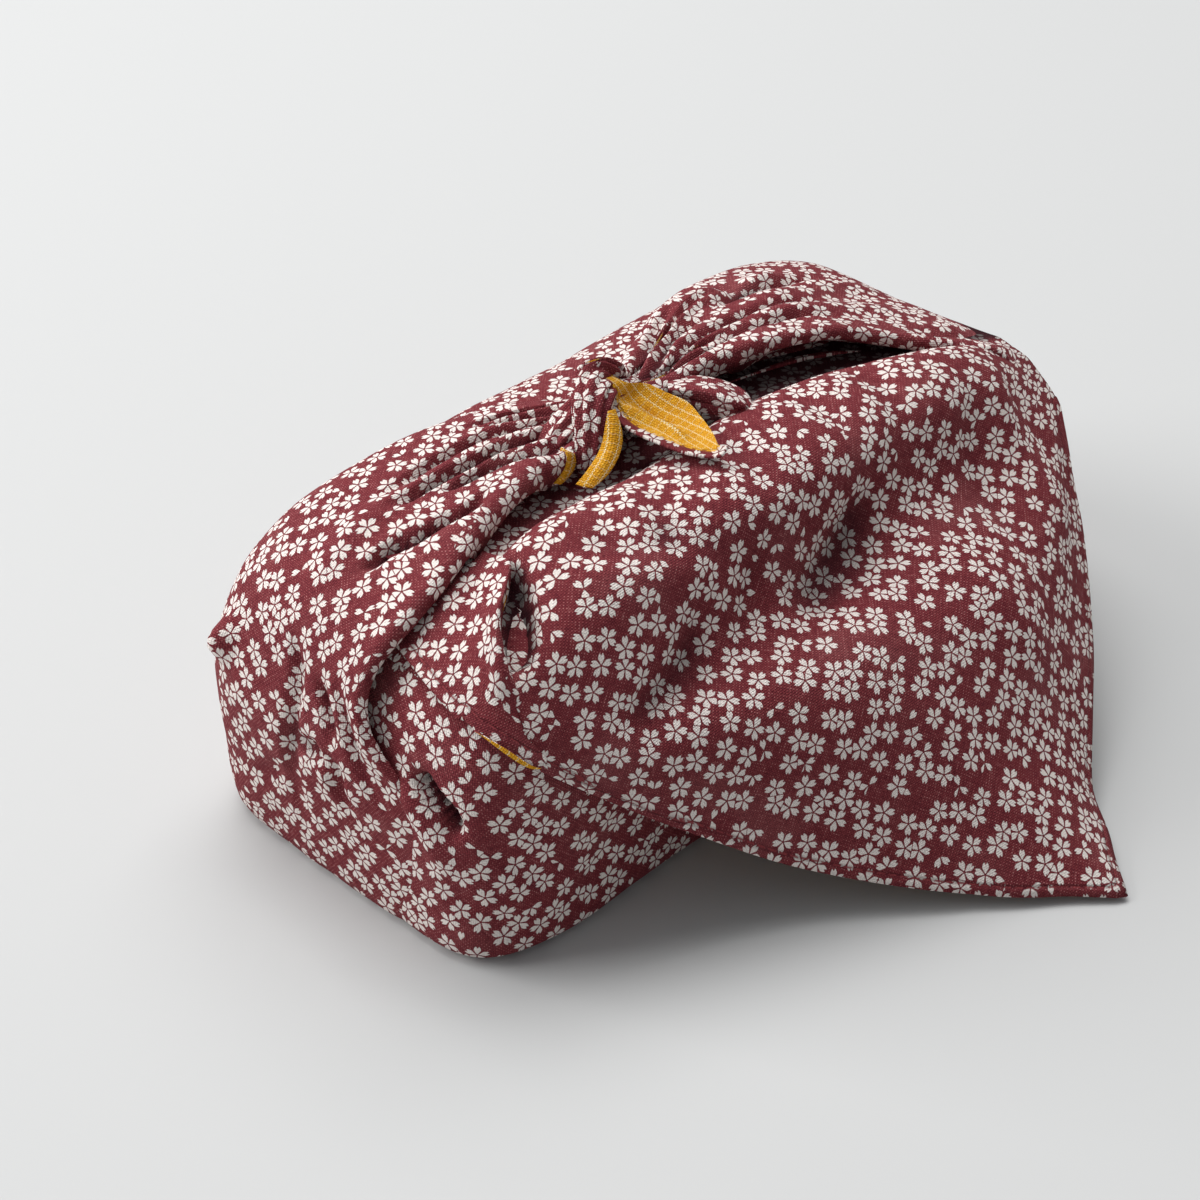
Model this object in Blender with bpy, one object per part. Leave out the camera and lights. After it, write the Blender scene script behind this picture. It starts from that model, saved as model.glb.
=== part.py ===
"""A square cotton wrapping cloth knotted round a lunch box, which itself is left out.

The cloth is one hollow solid: a skin in the form of the parcel, the two gathered
ends that climb over it to the knot, and the loose corner that hangs in front.
Metres, +Z up. The origin is the middle of the parcel's base, X runs along the
parcel, and the loose corner hangs towards -Y.
"""
from collections import namedtuple

import bmesh
import bpy
import numpy as np
from mathutils import Matrix

MM = 0.001

# Driving sizes of the parcel
HALF_LENGTH = 97.0 * MM
HALF_WIDTH = 46.5 * MM
HEIGHT = 70.0 * MM
PLAN_POWER = 7.0
RISE_POWER = 5.5
FOOT_RADIUS = 7.0 * MM
SHEET = 2.0 * MM

# How deep each added layer is sunk into the skin below it, so that they join
SUNK = 1.6 * MM

# The lowest that the gathered ends reach, so that the base stays one flat face
CLEAR_OF_BASE = 1.0 * MM

# The line inside the parcel from which its surface is looked for
SPINE_HALF_LENGTH = 55.0 * MM
SPINE_HALF_WIDTH = 12.0 * MM
SPINE_HEIGHT = 30.0 * MM

# How finely each piece is divided
FORM_CUTS = 10
FORM_SLICES = 8
SLICE_MERGE = 0.01
INSIDE_CUTS = 5
BAND_DIVISIONS = (22, 24)
FLAP_DIVISIONS = (28, 24)
EAR_DIVISIONS = (9, 8)
END_DIVISIONS = (6, 9)
KNOT_SEGMENTS = 16
KNOT_RINGS = 10
STRAP_SEGMENTS = 8
STRAP_STEPS = 14

# How the form's surface is looked for: how far out, in how many halvings, and the
# step over which its slope is taken
SEARCH_REACH = 4.0
SEARCH_ROUNDS = 30
SLOPE_STEP = 0.1 * MM
TINY = 1e-9

# How squarely a gathered end's height falls off at its edges, and how sharply the
# troughs between its gathers are cut
CROWN_POWER = 3
PLEAT_POWER = 1.5

Station = namedtuple("Station", "near far edge crown")
Pleat = namedtuple("Pleat", "across half_width depth begins full")
Fall = namedtuple("Fall", "root dip crest shoulder valley ridge skirt hem")
Leaf = namedtuple("Leaf", "left middle right")

# Left gathered end, from the base up over the end of the parcel to the knot.
# near and far are its two edges, edge and crown its height there and between, in mm.
BAND_LEFT = [
    Station((-93, -37, 2), (-94, 36, 2), 0.2, 0.4),
    Station((-97, -35, 14), (-97, 38, 14), 1.0, 3.0),
    Station((-98, -29, 30), (-98, 38, 30), 1.6, 4.5),
    Station((-98, -19, 44), (-97, 37, 46), 2.6, 5.0),
    Station((-95, -10, 56), (-94, 36, 58), 3.2, 4.5),
    Station((-88, -9.5, 65), (-84, 35, 68), 3.4, 5.0),
    Station((-74, -9, 71), (-66, 34, 72), 3.4, 6.5),
    Station((-54, -6, 73), (-44, 33, 73), 3.4, 7.5),
    Station((-38, -4.5, 73), (-26, 25, 73), 3.6, 8.5),
    Station((-24, -3, 73), (-14, 10, 73), 4.0, 9.5),
]

# Right gathered end, the same way round
BAND_RIGHT = [
    Station((93, -37, 2), (94, 36, 2), 0.2, 0.4),
    Station((97, -37, 14), (97, 37, 14), 1.0, 2.5),
    Station((98, -38, 32), (98, 37, 32), 1.4, 4.0),
    Station((96, -39, 48), (97, 36, 50), 1.6, 3.4),
    Station((88, -40, 60), (92, 35, 61), 1.8, 3.4),
    Station((76, -37, 68), (82, 33, 68), 2.4, 4.4),
    Station((60, -24, 72), (64, 33, 72), 3.6, 6.0),
    Station((38, -2, 73), (44, 32, 73), 5.0, 8.0),
    Station((18, 1, 73), (22, 24, 73), 5.6, 9.0),
    Station((-6, -2, 73), (-6, 12, 73), 5.6, 9.5),
]

# Troughs between the gathers: place and half width across the band from 0 at
# its near edge to 1, depth in mm, and where along it they begin and are full
PLEATS_LEFT = [
    Pleat(0.17, 0.06, 3.0, 0.50, 0.80),
    Pleat(0.36, 0.07, 3.6, 0.30, 0.70),
    Pleat(0.56, 0.06, 3.2, 0.45, 0.80),
    Pleat(0.76, 0.07, 3.8, 0.35, 0.70),
]
PLEATS_RIGHT = [
    Pleat(0.22, 0.07, 2.8, 0.45, 0.75),
    Pleat(0.43, 0.06, 2.6, 0.35, 0.80),
    Pleat(0.62, 0.07, 3.2, 0.50, 0.80),
    Pleat(0.82, 0.06, 2.4, 0.40, 0.85),
]

# The loose corner, as lines down its face from under the gathers to its hem, from
# the left edge to the right one, in mm. The fifth line ends in the corner itself.
FLAP = [
    Fall((-74, 6, 72.5), (-76, -8, 71.5), (-78, -22, 70.5), (-79, -36, 66),
         (-79, -43, 59), (-79, -45.5, 54), (-78.5, -46.5, 51), (-78, -47, 47)),
    Fall((-60, 6, 73.5), (-60, -8, 73.5), (-60, -22, 75), (-60, -37, 71),
         (-60, -47.5, 56.5), (-60, -52, 44), (-59, -56, 36), (-58, -59, 29.5)),
    Fall((-40, 6, 74), (-40, -6, 74), (-40, -22, 79), (-40, -38, 74),
         (-40, -48, 58.5), (-40, -57.5, 45), (-38, -67, 28), (-36, -76, 13)),
    Fall((-14, 6, 74), (-14, -6, 74), (-14, -20, 79.5), (-14, -37, 76),
         (-14, -48.5, 59.5), (-14, -62, 46.5), (-13, -82, 23), (-11, -98, 4)),
    Fall((12, 6, 74), (12, -6, 73), (11, -18, 78), (10, -37, 74.5),
         (9, -48, 60), (9, -66.5, 46.5), (12, -91, 20.5), (14, -122, 2)),
    Fall((32, 6, 74), (32, -5, 73), (31, -19, 77.5), (30, -37, 73),
         (29, -49, 61), (28, -68, 45.5), (31, -86, 24), (32, -100, 7.5)),
    Fall((50, 0, 74), (50, -10, 73.5), (50, -23, 77), (49, -39, 71.5),
         (49, -51, 59), (50, -64, 46.5), (53, -74, 34), (56, -81.5, 23)),
    Fall((66, -8, 73), (66, -18, 73), (66, -28, 73), (67, -41, 69),
         (68, -50, 59), (70, -56, 50.5), (72, -60, 44), (74, -64, 38)),
    Fall((80, -20, 68), (80, -25, 68), (81, -30, 67), (83, -36, 65),
         (85, -41, 61), (86, -43, 58), (86.5, -44, 56.5), (87, -45, 55)),
]
# The lines down to this one lie on the parcel, and the rest hang free of it. The cloth
# lets go within a share of its length, and its slope is taken over a smaller one.
LAST_LYING = 4
LETS_GO = 0.03
NET_STEP = 0.01

# The folded-over pleat at the loose corner's left, from its folded edge to the left,
# and how far it still stands off the form at its left edge
EAR_LEAST = 1.0 * MM
EAR = [
    [(-61, -3, 72.5), (-70, -3, 71.8), (-79, -3, 69.8), (-87, -5, 65)],
    [(-62, -7.5, 73.6), (-71, -9, 73), (-80, -10, 69.8), (-88, -10, 64)],
    [(-64, -19.5, 75), (-73, -20, 73.2), (-82, -20, 68.8), (-89, -19, 62.8)],
    [(-73, -28, 73.4), (-79, -27, 71.6), (-85, -26, 67.2), (-89.7, -25, 61.6)],
    [(-81, -36, 67), (-84, -34.5, 65.6), (-87, -32.5, 63), (-89.4, -30, 60)],
    [(-79.5, -46, 50.5), (-83, -45, 52.5), (-86, -42, 55), (-88.4, -36, 58.4)],
]

# The knot: the bundle along X and the strap that turns once over it, then the
# two short ends, all in mm
KNOT_CENTRE = (-17, 2, 82)
KNOT_HALF_SIZES = (13.5, 6.8, 6.5)
STRAP_RADIUS = 6.6
STRAP_HALF_SIZES = (4.6, 3.4)
STRAP_TURN = 0.35
LEAF_NEAR = [
    Leaf((-17, 1, 84), (-14, 3, 86), (-10, 4, 85)),
    Leaf((-18, -7, 83), (-11, -5, 82.5), (-4, -3, 85)),
    Leaf((-17, -15, 83), (-11, -14, 81), (-3.5, -11, 85)),
    Leaf((-12, -21, 82), (-9, -20, 81), (-4.5, -18, 83)),
    Leaf((-6.8, -25, 80.8), (-6.4, -25, 80.4), (-6, -24.8, 80.8)),
]
LEAF_FAR = [
    Leaf((-9, -3, 81), (-9, 1, 83), (-9, 4, 82)),
    Leaf((-2, -8, 80), (-1, -4, 82), (0, 1, 81)),
    Leaf((4, -12, 80), (5, -8, 81.5), (6, -3, 80)),
    Leaf((8, -18, 79.5), (9.5, -15, 80.5), (10.5, -10, 79.5)),
    Leaf((8, -19, 79), (9, -18.5, 79), (10, -17.5, 79)),
]
LEAF_SHEET = 3.0 * MM

# The gap under the loose corner by which the inside is reached, in mm
SLIT_CENTRE = (5, -45, 50.5)
SLIT_SIZES = (100, 10, 1.5)

CLOTH_COLOUR = (0.17, 0.026, 0.030, 1.0)
CLOTH_ROUGHNESS = 0.85


def form_value(points, grow=0.0):
    """1 on the parcel's form, less inside it and more outside, at an array of points."""
    x, y = np.abs(points[..., 0]), np.abs(points[..., 1])
    z = np.clip(points[..., 2], 0, None)
    below = np.clip(FOOT_RADIUS - z, 0, None)
    foot = FOOT_RADIUS - np.sqrt(np.clip(FOOT_RADIUS**2 - below**2, 0, None))
    plan = ((x + foot) / (HALF_LENGTH + grow)) ** PLAN_POWER
    plan = plan + ((y + foot) / (HALF_WIDTH + grow)) ** PLAN_POWER
    rise = (z / (HEIGHT + grow)) ** RISE_POWER
    return (plan ** (RISE_POWER / PLAN_POWER) + rise) ** (1 / RISE_POWER)


def onto_form(points, grow=0.0):
    """The points moved straight out from the parcel's inner line onto its form."""
    spine = np.stack([
        np.clip(points[..., 0], -SPINE_HALF_LENGTH, SPINE_HALF_LENGTH),
        np.clip(points[..., 1], -SPINE_HALF_WIDTH, SPINE_HALF_WIDTH),
        np.clip(points[..., 2], 0, SPINE_HEIGHT),
    ], axis=-1)
    low = np.zeros(points.shape[:-1])
    high = np.full(points.shape[:-1], SEARCH_REACH)
    for _ in range(SEARCH_ROUNDS):
        middle = (low + high) / 2
        inside = form_value(spine + middle[..., None] * (points - spine), grow) < 1
        low = np.where(inside, middle, low)
        high = np.where(inside, high, middle)
    return spine + low[..., None] * (points - spine)


def form_normal(points):
    """The outward direction of the form at an array of points near it."""
    slope = np.stack([
        form_value(points + SLOPE_STEP * axis) - form_value(points - SLOPE_STEP * axis)
        for axis in np.eye(3)
    ], axis=-1)
    return slope / np.maximum(np.linalg.norm(slope, axis=-1, keepdims=True), TINY)


def along(rows, share):
    """A smooth curve through rows at each share, from 0 at the first row to 1 at the last."""
    rows = np.asarray(rows, float)
    place = np.clip(share, 0, 1) * (len(rows) - 1)
    start = np.minimum(place.astype(int), len(rows) - 2)
    part = (place - start).reshape(place.shape + (1,) * (rows.ndim - 1))
    before, first = rows[np.maximum(start - 1, 0)], rows[start]
    second, after = rows[start + 1], rows[np.minimum(start + 2, len(rows) - 1)]
    leave, arrive = (second - before) / 2, (after - first) / 2
    return ((2 * part**3 - 3 * part**2 + 1) * first + (part**3 - 2 * part**2 + part) * leave
            + (3 * part**2 - 2 * part**3) * second + (part**3 - part**2) * arrive)


def on_net(net, across, down):
    """Points of the smooth surface through a net of rows of points."""
    lines = along(np.swapaxes(np.asarray(net, float), 0, 1), down)
    return np.stack([along(lines[i], across[i:i + 1])[0] for i in range(len(down))])


def ramp(value, start, end):
    """0 up to start, 1 from end on, and smooth between."""
    share = np.clip((value - start) / (end - start), 0, 1)
    return share * share * (3 - 2 * share)


def band_height(stations, pleats, up, across):
    """How far a gathered end stands off the form, in metres."""
    edge = along([[s.edge] for s in stations], up)[:, 0] * MM
    crown = along([[s.crown] for s in stations], up)[:, 0] * MM
    height = edge + (crown - edge) * (1 - np.abs(2 * across - 1) ** CROWN_POWER)
    for pleat in pleats:
        near = np.clip(1 - np.abs(across - pleat.across) / pleat.half_width, 0, 1)
        cut = pleat.depth * MM * near**PLEAT_POWER
        height = height - cut * ramp(up, pleat.begins, pleat.full)
    return height


def new_object(name, mesh):
    """A scene object for a finished mesh."""
    item = bpy.data.objects.new(name, mesh)
    bpy.context.scene.collection.objects.link(item)
    return item


def finish(name, bm):
    """An object from a closed bmesh, with its faces turned outwards."""
    bmesh.ops.recalc_face_normals(bm, faces=bm.faces)
    mesh = bpy.data.meshes.new(name)
    bm.to_mesh(mesh)
    bm.free()
    return new_object(name, mesh)


def as_guide(item):
    """Marks a shape that only cuts or joins another one."""
    item.hide_render = True
    item.display_type = "WIRE"
    return item


def slab(name, divisions, place):
    """A flat slab bent into shape: place turns shares along, across and the side into points."""
    bm = bmesh.new()
    bmesh.ops.create_grid(bm, x_segments=divisions[0], y_segments=divisions[1], size=0.5)
    lifted = bmesh.ops.extrude_face_region(bm, geom=bm.faces[:], use_keep_orig=True)
    top = [part for part in lifted["geom"] if isinstance(part, bmesh.types.BMVert)]
    bmesh.ops.translate(bm, verts=top, vec=(0, 0, 1))
    flat = np.array([vertex.co for vertex in bm.verts])
    bent = place(flat[:, 0] + 0.5, flat[:, 1] + 0.5, flat[:, 2])
    for vertex, point in zip(bm.verts, bent):
        vertex.co = point
    return as_guide(finish(name, bm))


def between(side, lower, upper):
    """The lower points where side is 0 and the upper ones where it is 1."""
    return np.where((side > 0.5)[:, None], upper, lower)


def form(name, cuts, slices, grow):
    """A closed solid in the parcel's form, moved outwards by grow."""
    bm = bmesh.new()
    bmesh.ops.create_cube(bm, size=2)
    bmesh.ops.subdivide_edges(bm, edges=bm.edges[:], cuts=cuts, use_grid_fill=True)
    for share in np.linspace(-1, 1, slices + 2)[1:-1]:
        everything = bm.verts[:] + bm.edges[:] + bm.faces[:]
        bmesh.ops.bisect_plane(bm, geom=everything, plane_co=(share, 0, 0),
                               plane_no=(1, 0, 0), dist=SLICE_MERGE)
    cube = np.array([vertex.co for vertex in bm.verts])
    rise = (cube[:, 2] + 1) / 2
    flat = np.abs(cube[:, :2])
    plan = (flat**PLAN_POWER).sum(axis=1) ** (1 / PLAN_POWER)
    solid = (plan**RISE_POWER + rise**RISE_POWER) ** (1 / RISE_POWER)
    on_base = flat.max(axis=1) / np.maximum(plan, TINY)
    scale = np.where(rise < SLICE_MERGE, on_base, 1 / np.maximum(solid, TINY))
    sizes = np.array([HALF_LENGTH + grow, HALF_WIDTH + grow, HEIGHT + grow])
    points = np.column_stack([cube[:, :2], rise]) * scale[:, None] * sizes
    below = np.clip(FOOT_RADIUS - points[:, 2], 0, None)
    foot = FOOT_RADIUS - np.sqrt(FOOT_RADIUS**2 - below**2)
    points[:, :2] *= 1 - foot[:, None] / sizes[:2]
    points[:, 2] -= min(grow, 0) * (1 - points[:, 2] / sizes[2])
    for vertex, point in zip(bm.verts, points):
        vertex.co = point
    return finish(name, bm)


def gathered_end(name, stations, pleats):
    """One end of the cloth, gathered up over the end of the parcel to the knot."""
    near = np.array([s.near for s in stations]) * MM
    far = np.array([s.far for s in stations]) * MM

    def place(up, across, side):
        first, last = along(near, up), along(far, up)
        flat = first + (last - first) * across[:, None]
        skin = onto_form(flat)
        height = band_height(stations, pleats, up, across)
        upper = skin + form_normal(skin) * height[:, None]
        upper[:, 2] = np.maximum(upper[:, 2], CLEAR_OF_BASE)
        return between(side, onto_form(flat, -SUNK), upper)

    return slab(name, BAND_DIVISIONS, place)


def loose_corner(name):
    """The corner of the cloth that comes over the top and hangs in front."""
    net = np.array([list(fall) for fall in FLAP]) * MM
    lying = LAST_LYING / (net.shape[1] - 1)

    def place(across, down, side):
        upper = on_net(net, across, down)
        run = on_net(net, np.clip(across + NET_STEP, 0, 1), down)
        run = run - on_net(net, np.clip(across - NET_STEP, 0, 1), down)
        fall = on_net(net, across, np.clip(down + NET_STEP, 0, 1))
        fall = fall - on_net(net, across, np.clip(down - NET_STEP, 0, 1))
        outward = np.cross(fall, run)
        outward /= np.linalg.norm(outward, axis=1, keepdims=True)
        hanging = ramp(down, lying, lying + LETS_GO)[:, None]
        lower = onto_form(upper, -SUNK) * (1 - hanging) + (upper - outward * SHEET) * hanging
        lower[:, 2] = np.maximum(lower[:, 2], 0)
        return between(side, lower, upper)

    return slab(name, FLAP_DIVISIONS, place)


def folded_pleat(name):
    """The ear-like pleat that lies over the loose corner's left side."""
    net = np.swapaxes(np.array(EAR, float), 0, 1) * MM

    def place(across, down, side):
        stood = on_net(net, across, down)
        seat = onto_form(stood, EAR_LEAST)
        upper = seat + (stood - seat) * (1 - across)[:, None]
        return between(side, onto_form(stood, -SUNK), upper)

    return slab(name, EAR_DIVISIONS, place)


def free_end(name, leaves):
    """One short pointed end of the knotted cloth."""
    net = np.swapaxes(np.array([list(leaf) for leaf in leaves]), 0, 1) * MM

    def place(across, down, side):
        upper = on_net(net, across, down)
        return upper - (1 - side[:, None]) * np.array([0, 0, LEAF_SHEET])

    return slab(name, END_DIVISIONS, place)


def knot(name):
    """The tied lump on top of the parcel, down to the cloth that it lies on."""
    bm = bmesh.new()
    bmesh.ops.create_uvsphere(bm, u_segments=KNOT_SEGMENTS, v_segments=KNOT_RINGS, radius=1)
    bmesh.ops.scale(bm, verts=bm.verts, vec=np.array(KNOT_HALF_SIZES) * MM)
    bmesh.ops.translate(bm, verts=bm.verts, vec=np.array(KNOT_CENTRE) * MM)
    return as_guide(finish(name, bm))


def strap(name):
    """The turn of cloth that goes over the knot and holds it."""
    bm = bmesh.new()
    bmesh.ops.create_circle(bm, segments=STRAP_SEGMENTS, radius=1)
    bmesh.ops.scale(bm, verts=bm.verts, vec=(*STRAP_HALF_SIZES, 1))
    bmesh.ops.translate(bm, verts=bm.verts, vec=(0, STRAP_RADIUS, 0))
    bmesh.ops.spin(bm, geom=bm.verts[:] + bm.edges[:], axis=(1, 0, 0), cent=(0, 0, 0),
                   steps=STRAP_STEPS, angle=2 * np.pi, use_merge=True)
    turn = Matrix.Rotation(STRAP_TURN, 4, "Z")
    bmesh.ops.transform(bm, matrix=turn, verts=bm.verts)
    bmesh.ops.scale(bm, verts=bm.verts, vec=(MM, MM, MM))
    bmesh.ops.translate(bm, verts=bm.verts, vec=np.array(KNOT_CENTRE) * MM)
    return as_guide(finish(name, bm))


def slit(name):
    """The cutter for the gap by which the inside is reached."""
    bm = bmesh.new()
    bmesh.ops.create_cube(bm, size=1)
    bmesh.ops.scale(bm, verts=bm.verts, vec=np.array(SLIT_SIZES) * MM)
    bmesh.ops.translate(bm, verts=bm.verts, vec=np.array(SLIT_CENTRE) * MM)
    return as_guide(finish(name, bm))


def combine(item, other, operation):
    """Adds a live Boolean of another shape to an object."""
    modifier = item.modifiers.new(f"{operation.lower()} {other.name}", "BOOLEAN")
    modifier.operation = operation
    modifier.solver = "EXACT"
    modifier.object = other


def cloth_material():
    """Burgundy cotton."""
    material = bpy.data.materials.new("burgundy cotton")
    material.use_nodes = True
    shader = material.node_tree.nodes["Principled BSDF"]
    shader.inputs["Base Color"].default_value = CLOTH_COLOUR
    shader.inputs["Roughness"].default_value = CLOTH_ROUGHNESS
    shader.inputs["Metallic"].default_value = 0.0
    return material


def build():
    """Makes the wrapping cloth."""
    for item in list(bpy.data.objects):
        bpy.data.objects.remove(item)
    cloth = form("furoshiki", FORM_CUTS, FORM_SLICES, 0.0)
    cloth.data.materials.append(cloth_material())
    for added in (
        loose_corner("loose_corner"),
        folded_pleat("folded_pleat"),
        gathered_end("gathered_left", BAND_LEFT, PLEATS_LEFT),
        gathered_end("gathered_right", BAND_RIGHT, PLEATS_RIGHT),
        knot("knot"),
        strap("strap"),
        free_end("near_end", LEAF_NEAR),
        free_end("far_end", LEAF_FAR),
    ):
        combine(cloth, added, "UNION")
    combine(cloth, as_guide(form("inside", INSIDE_CUTS, 0, -SHEET)), "DIFFERENCE")
    combine(cloth, slit("slit"), "DIFFERENCE")


build()
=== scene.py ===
"""A square printed cotton cloth tied round a lunch box, with its loose corner in front.

Metres, +Z up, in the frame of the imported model: the origin is the middle of the base,
X runs along the parcel and the loose corner hangs towards -Y. Tables are in
millimetres. Each stretch of the cloth is a thin sheet, and all of them are joined.
"""
from __future__ import annotations

import logging
from collections.abc import Callable, Iterable
from dataclasses import dataclass, field
from enum import Enum
from typing import NamedTuple

import bmesh
import bpy
import numpy as np
from mathutils import Matrix, Vector, noise

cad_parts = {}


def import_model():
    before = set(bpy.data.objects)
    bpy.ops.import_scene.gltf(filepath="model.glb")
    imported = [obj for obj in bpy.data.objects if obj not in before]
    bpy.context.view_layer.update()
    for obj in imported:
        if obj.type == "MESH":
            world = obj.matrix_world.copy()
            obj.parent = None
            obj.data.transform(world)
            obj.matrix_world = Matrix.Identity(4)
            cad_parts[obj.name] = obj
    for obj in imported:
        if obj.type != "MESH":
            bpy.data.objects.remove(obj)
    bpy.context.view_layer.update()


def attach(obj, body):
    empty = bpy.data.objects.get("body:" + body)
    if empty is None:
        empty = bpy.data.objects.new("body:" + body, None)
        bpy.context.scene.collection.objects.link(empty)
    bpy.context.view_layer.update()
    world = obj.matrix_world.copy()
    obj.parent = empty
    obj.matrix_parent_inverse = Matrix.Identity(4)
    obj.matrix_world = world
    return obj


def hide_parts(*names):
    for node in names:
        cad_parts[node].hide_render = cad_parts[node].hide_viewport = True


LOG = logging.getLogger("furoshiki")

MM = 0.001
TINY = 1e-9
Array = np.ndarray
Point = tuple[float, float, float]
Place = Callable[[Array, Array], Array]


# ---------------------------------------------------------------- smooth tables


def spline_weights(count: int, share: Array) -> tuple[Array, Array]:
    """The four rows that a smooth curve through a table reads at each share.

    Args:
        count: how many rows the table has.
        share: places along it, from 0 at the first row to 1 at the last.

    Returns:
        The rows' indices and their weights, both of one row of four per share.
    """
    place = np.clip(share, 0, 1) * (count - 1)
    start = np.minimum(place.astype(int), count - 2)
    t = place - start
    rows = np.stack([
        np.maximum(start - 1, 0), start, start + 1, np.minimum(start + 2, count - 1),
    ], axis=1)
    weights = np.stack([
        -0.5 * t**3 + t**2 - 0.5 * t,
        1.5 * t**3 - 2.5 * t**2 + 1,
        -1.5 * t**3 + 2 * t**2 + 0.5 * t,
        0.5 * t**3 - 0.5 * t**2,
    ], axis=1)
    return rows, weights


def along(rows: Array, share: Array) -> Array:
    """The smooth curve through a table's rows, read at each share of its length."""
    rows = np.asarray(rows, float)
    which, weights = spline_weights(len(rows), share)
    return np.einsum("nk,nk...->n...", weights, rows[which])


def on_net(net: Array, across: Array, down: Array) -> Array:
    """The smooth surface through a net of points, read at shares across and down it."""
    i, across_weights = spline_weights(net.shape[0], across)
    j, down_weights = spline_weights(net.shape[1], down)
    picked = net[i[:, :, None], j[:, None, :]]
    return np.einsum("na,nb,nabc->nc", across_weights, down_weights, picked)


def ramp(value: Array, start: float, end: float) -> Array:
    """0 up to start, 1 from end on, and smooth between."""
    share = np.clip((value - start) / (end - start), 0, 1)
    return share * share * (3 - 2 * share)


def unit(vectors: Array) -> Array:
    """The vectors at length 1."""
    return vectors / np.maximum(np.linalg.norm(vectors, axis=-1, keepdims=True), TINY)


def evened(net: Array, axis: int) -> Callable[[Array], Array]:
    """A change of share that spaces a net's rows by their true mean distance.

    Args:
        net: points in rows and columns.
        axis: 0 to even the shares across the net, 1 down it.

    Returns:
        A function from an even share to the net's own share.
    """
    steps = np.linalg.norm(np.diff(net, axis=axis), axis=-1).mean(axis=1 - axis)
    reached = np.concatenate([[0.0], np.cumsum(steps)])
    own = np.linspace(0, 1, len(reached))
    return lambda share: np.interp(share, reached / reached[-1], own)


# ------------------------------------------------------------------- the parcel


@dataclass(frozen=True)
class Parcel:
    """The rounded block that the cloth is folded round."""

    half_length: float = 97.0 * MM
    half_width: float = 46.5 * MM
    height: float = 70.0 * MM
    plan_power: float = 7.0
    rise_power: float = 5.5
    foot_radius: float = 4.0 * MM
    spine: Point = (55.0 * MM, 12.0 * MM, 30.0 * MM)
    search_reach: float = 4.0
    search_rounds: int = 26
    slope_step: float = 0.1 * MM

    def value(self, points: Array) -> Array:
        """1 on the block's surface, less inside it and more outside."""
        x, y = np.abs(points[..., 0]), np.abs(points[..., 1])
        z = np.clip(points[..., 2], 0, None)
        below = np.clip(self.foot_radius - z, 0, None)
        foot = self.foot_radius - np.sqrt(np.clip(self.foot_radius**2 - below**2, 0, None))
        plan = ((x + foot) / self.half_length) ** self.plan_power
        plan = plan + ((y + foot) / self.half_width) ** self.plan_power
        rise = (z / self.height) ** self.rise_power
        return (plan ** (self.rise_power / self.plan_power) + rise) ** (1 / self.rise_power)

    def onto(self, points: Array) -> Array:
        """The points moved straight out from the block's inner line onto its surface."""
        wide, deep, high = self.spine
        inner = np.stack([
            np.clip(points[..., 0], -wide, wide),
            np.clip(points[..., 1], -deep, deep),
            np.clip(points[..., 2], 0, high),
        ], axis=-1)
        near = np.zeros(points.shape[:-1])
        far = np.full(points.shape[:-1], self.search_reach)
        for _ in range(self.search_rounds):
            middle = (near + far) / 2
            inside = self.value(inner + middle[..., None] * (points - inner)) < 1
            near = np.where(inside, middle, near)
            far = np.where(inside, far, middle)
        return inner + near[..., None] * (points - inner)

    def normal(self, points: Array) -> Array:
        """The outward direction of the block's surface near each point."""
        slope = np.stack([
            self.value(points + self.slope_step * axis)
            - self.value(points - self.slope_step * axis)
            for axis in np.eye(3)
        ], axis=-1)
        return unit(slope)

    def raised(self, points: Array, lift: Array | float) -> Array:
        """The points put onto the surface and lifted off it."""
        skin = self.onto(points)
        lifted = skin + self.normal(skin) * np.reshape(lift, (-1, 1))
        lifted[:, 2] = np.maximum(lifted[:, 2], 0.0)
        return lifted


PARCEL = Parcel()


# ------------------------------------------------------------ folds and wrinkles


class Crease(NamedTuple):
    """A soft line over the cloth, in mm. A trough has depth above 0 and a ridge below 0.

    lean makes one side of it steeper, and fade is the share of its length over which
    each end dies away.
    """

    line: tuple[Point, ...]
    width: float
    depth: float
    lean: float = 0.0
    fade: float = 0.25


class Wrinkle(NamedTuple):
    """A gentle unevenness: its size and height in mm, and where its pattern starts."""

    size: float
    height: float
    start: float = 0.0


CREASE_STEPS = 40
CREASE_REACH = 14 * MM
WRINKLE_ASIDE = 0.7
WRINKLE_ABOVE = 0.3


def creased(points: Array, normals: Array, creases: tuple[Crease, ...]) -> Array:
    """How far the creases push each point in, in metres.

    Args:
        points: where the cloth is.
        normals: its outward directions there.
        creases: the lines over it.

    Returns:
        The depth at each point.
    """
    depth = np.zeros(len(points))
    for crease in creases:
        shares = np.linspace(0, 1, CREASE_STEPS)
        line = along(np.array(crease.line) * MM, shares)
        gap = points[:, None, :] - line[None, :, :]
        off = np.einsum("nkc,nc->nk", gap, normals)
        flat = gap - off[..., None] * normals[:, None, :]
        distance = np.linalg.norm(flat, axis=2)
        nearest = distance.argmin(axis=1)
        rows = np.arange(len(points))
        tangent = unit(np.gradient(line, axis=0))[nearest]
        side = np.sign(np.einsum("nc,nc->n", np.cross(tangent, flat[rows, nearest]), normals))
        width = crease.width * MM * (1 + crease.lean * side)
        near = np.clip(1 - distance[rows, nearest] / width, 0, 1)
        share = shares[nearest]
        fade = np.minimum(share, 1 - share) / max(crease.fade, TINY)
        fade = ramp(fade, 0, 1) if crease.fade > 0 else 1.0
        close = np.abs(off[rows, nearest]) < CREASE_REACH
        depth += crease.depth * MM * near * near * (3 - 2 * near) * fade * close
    return depth


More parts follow.
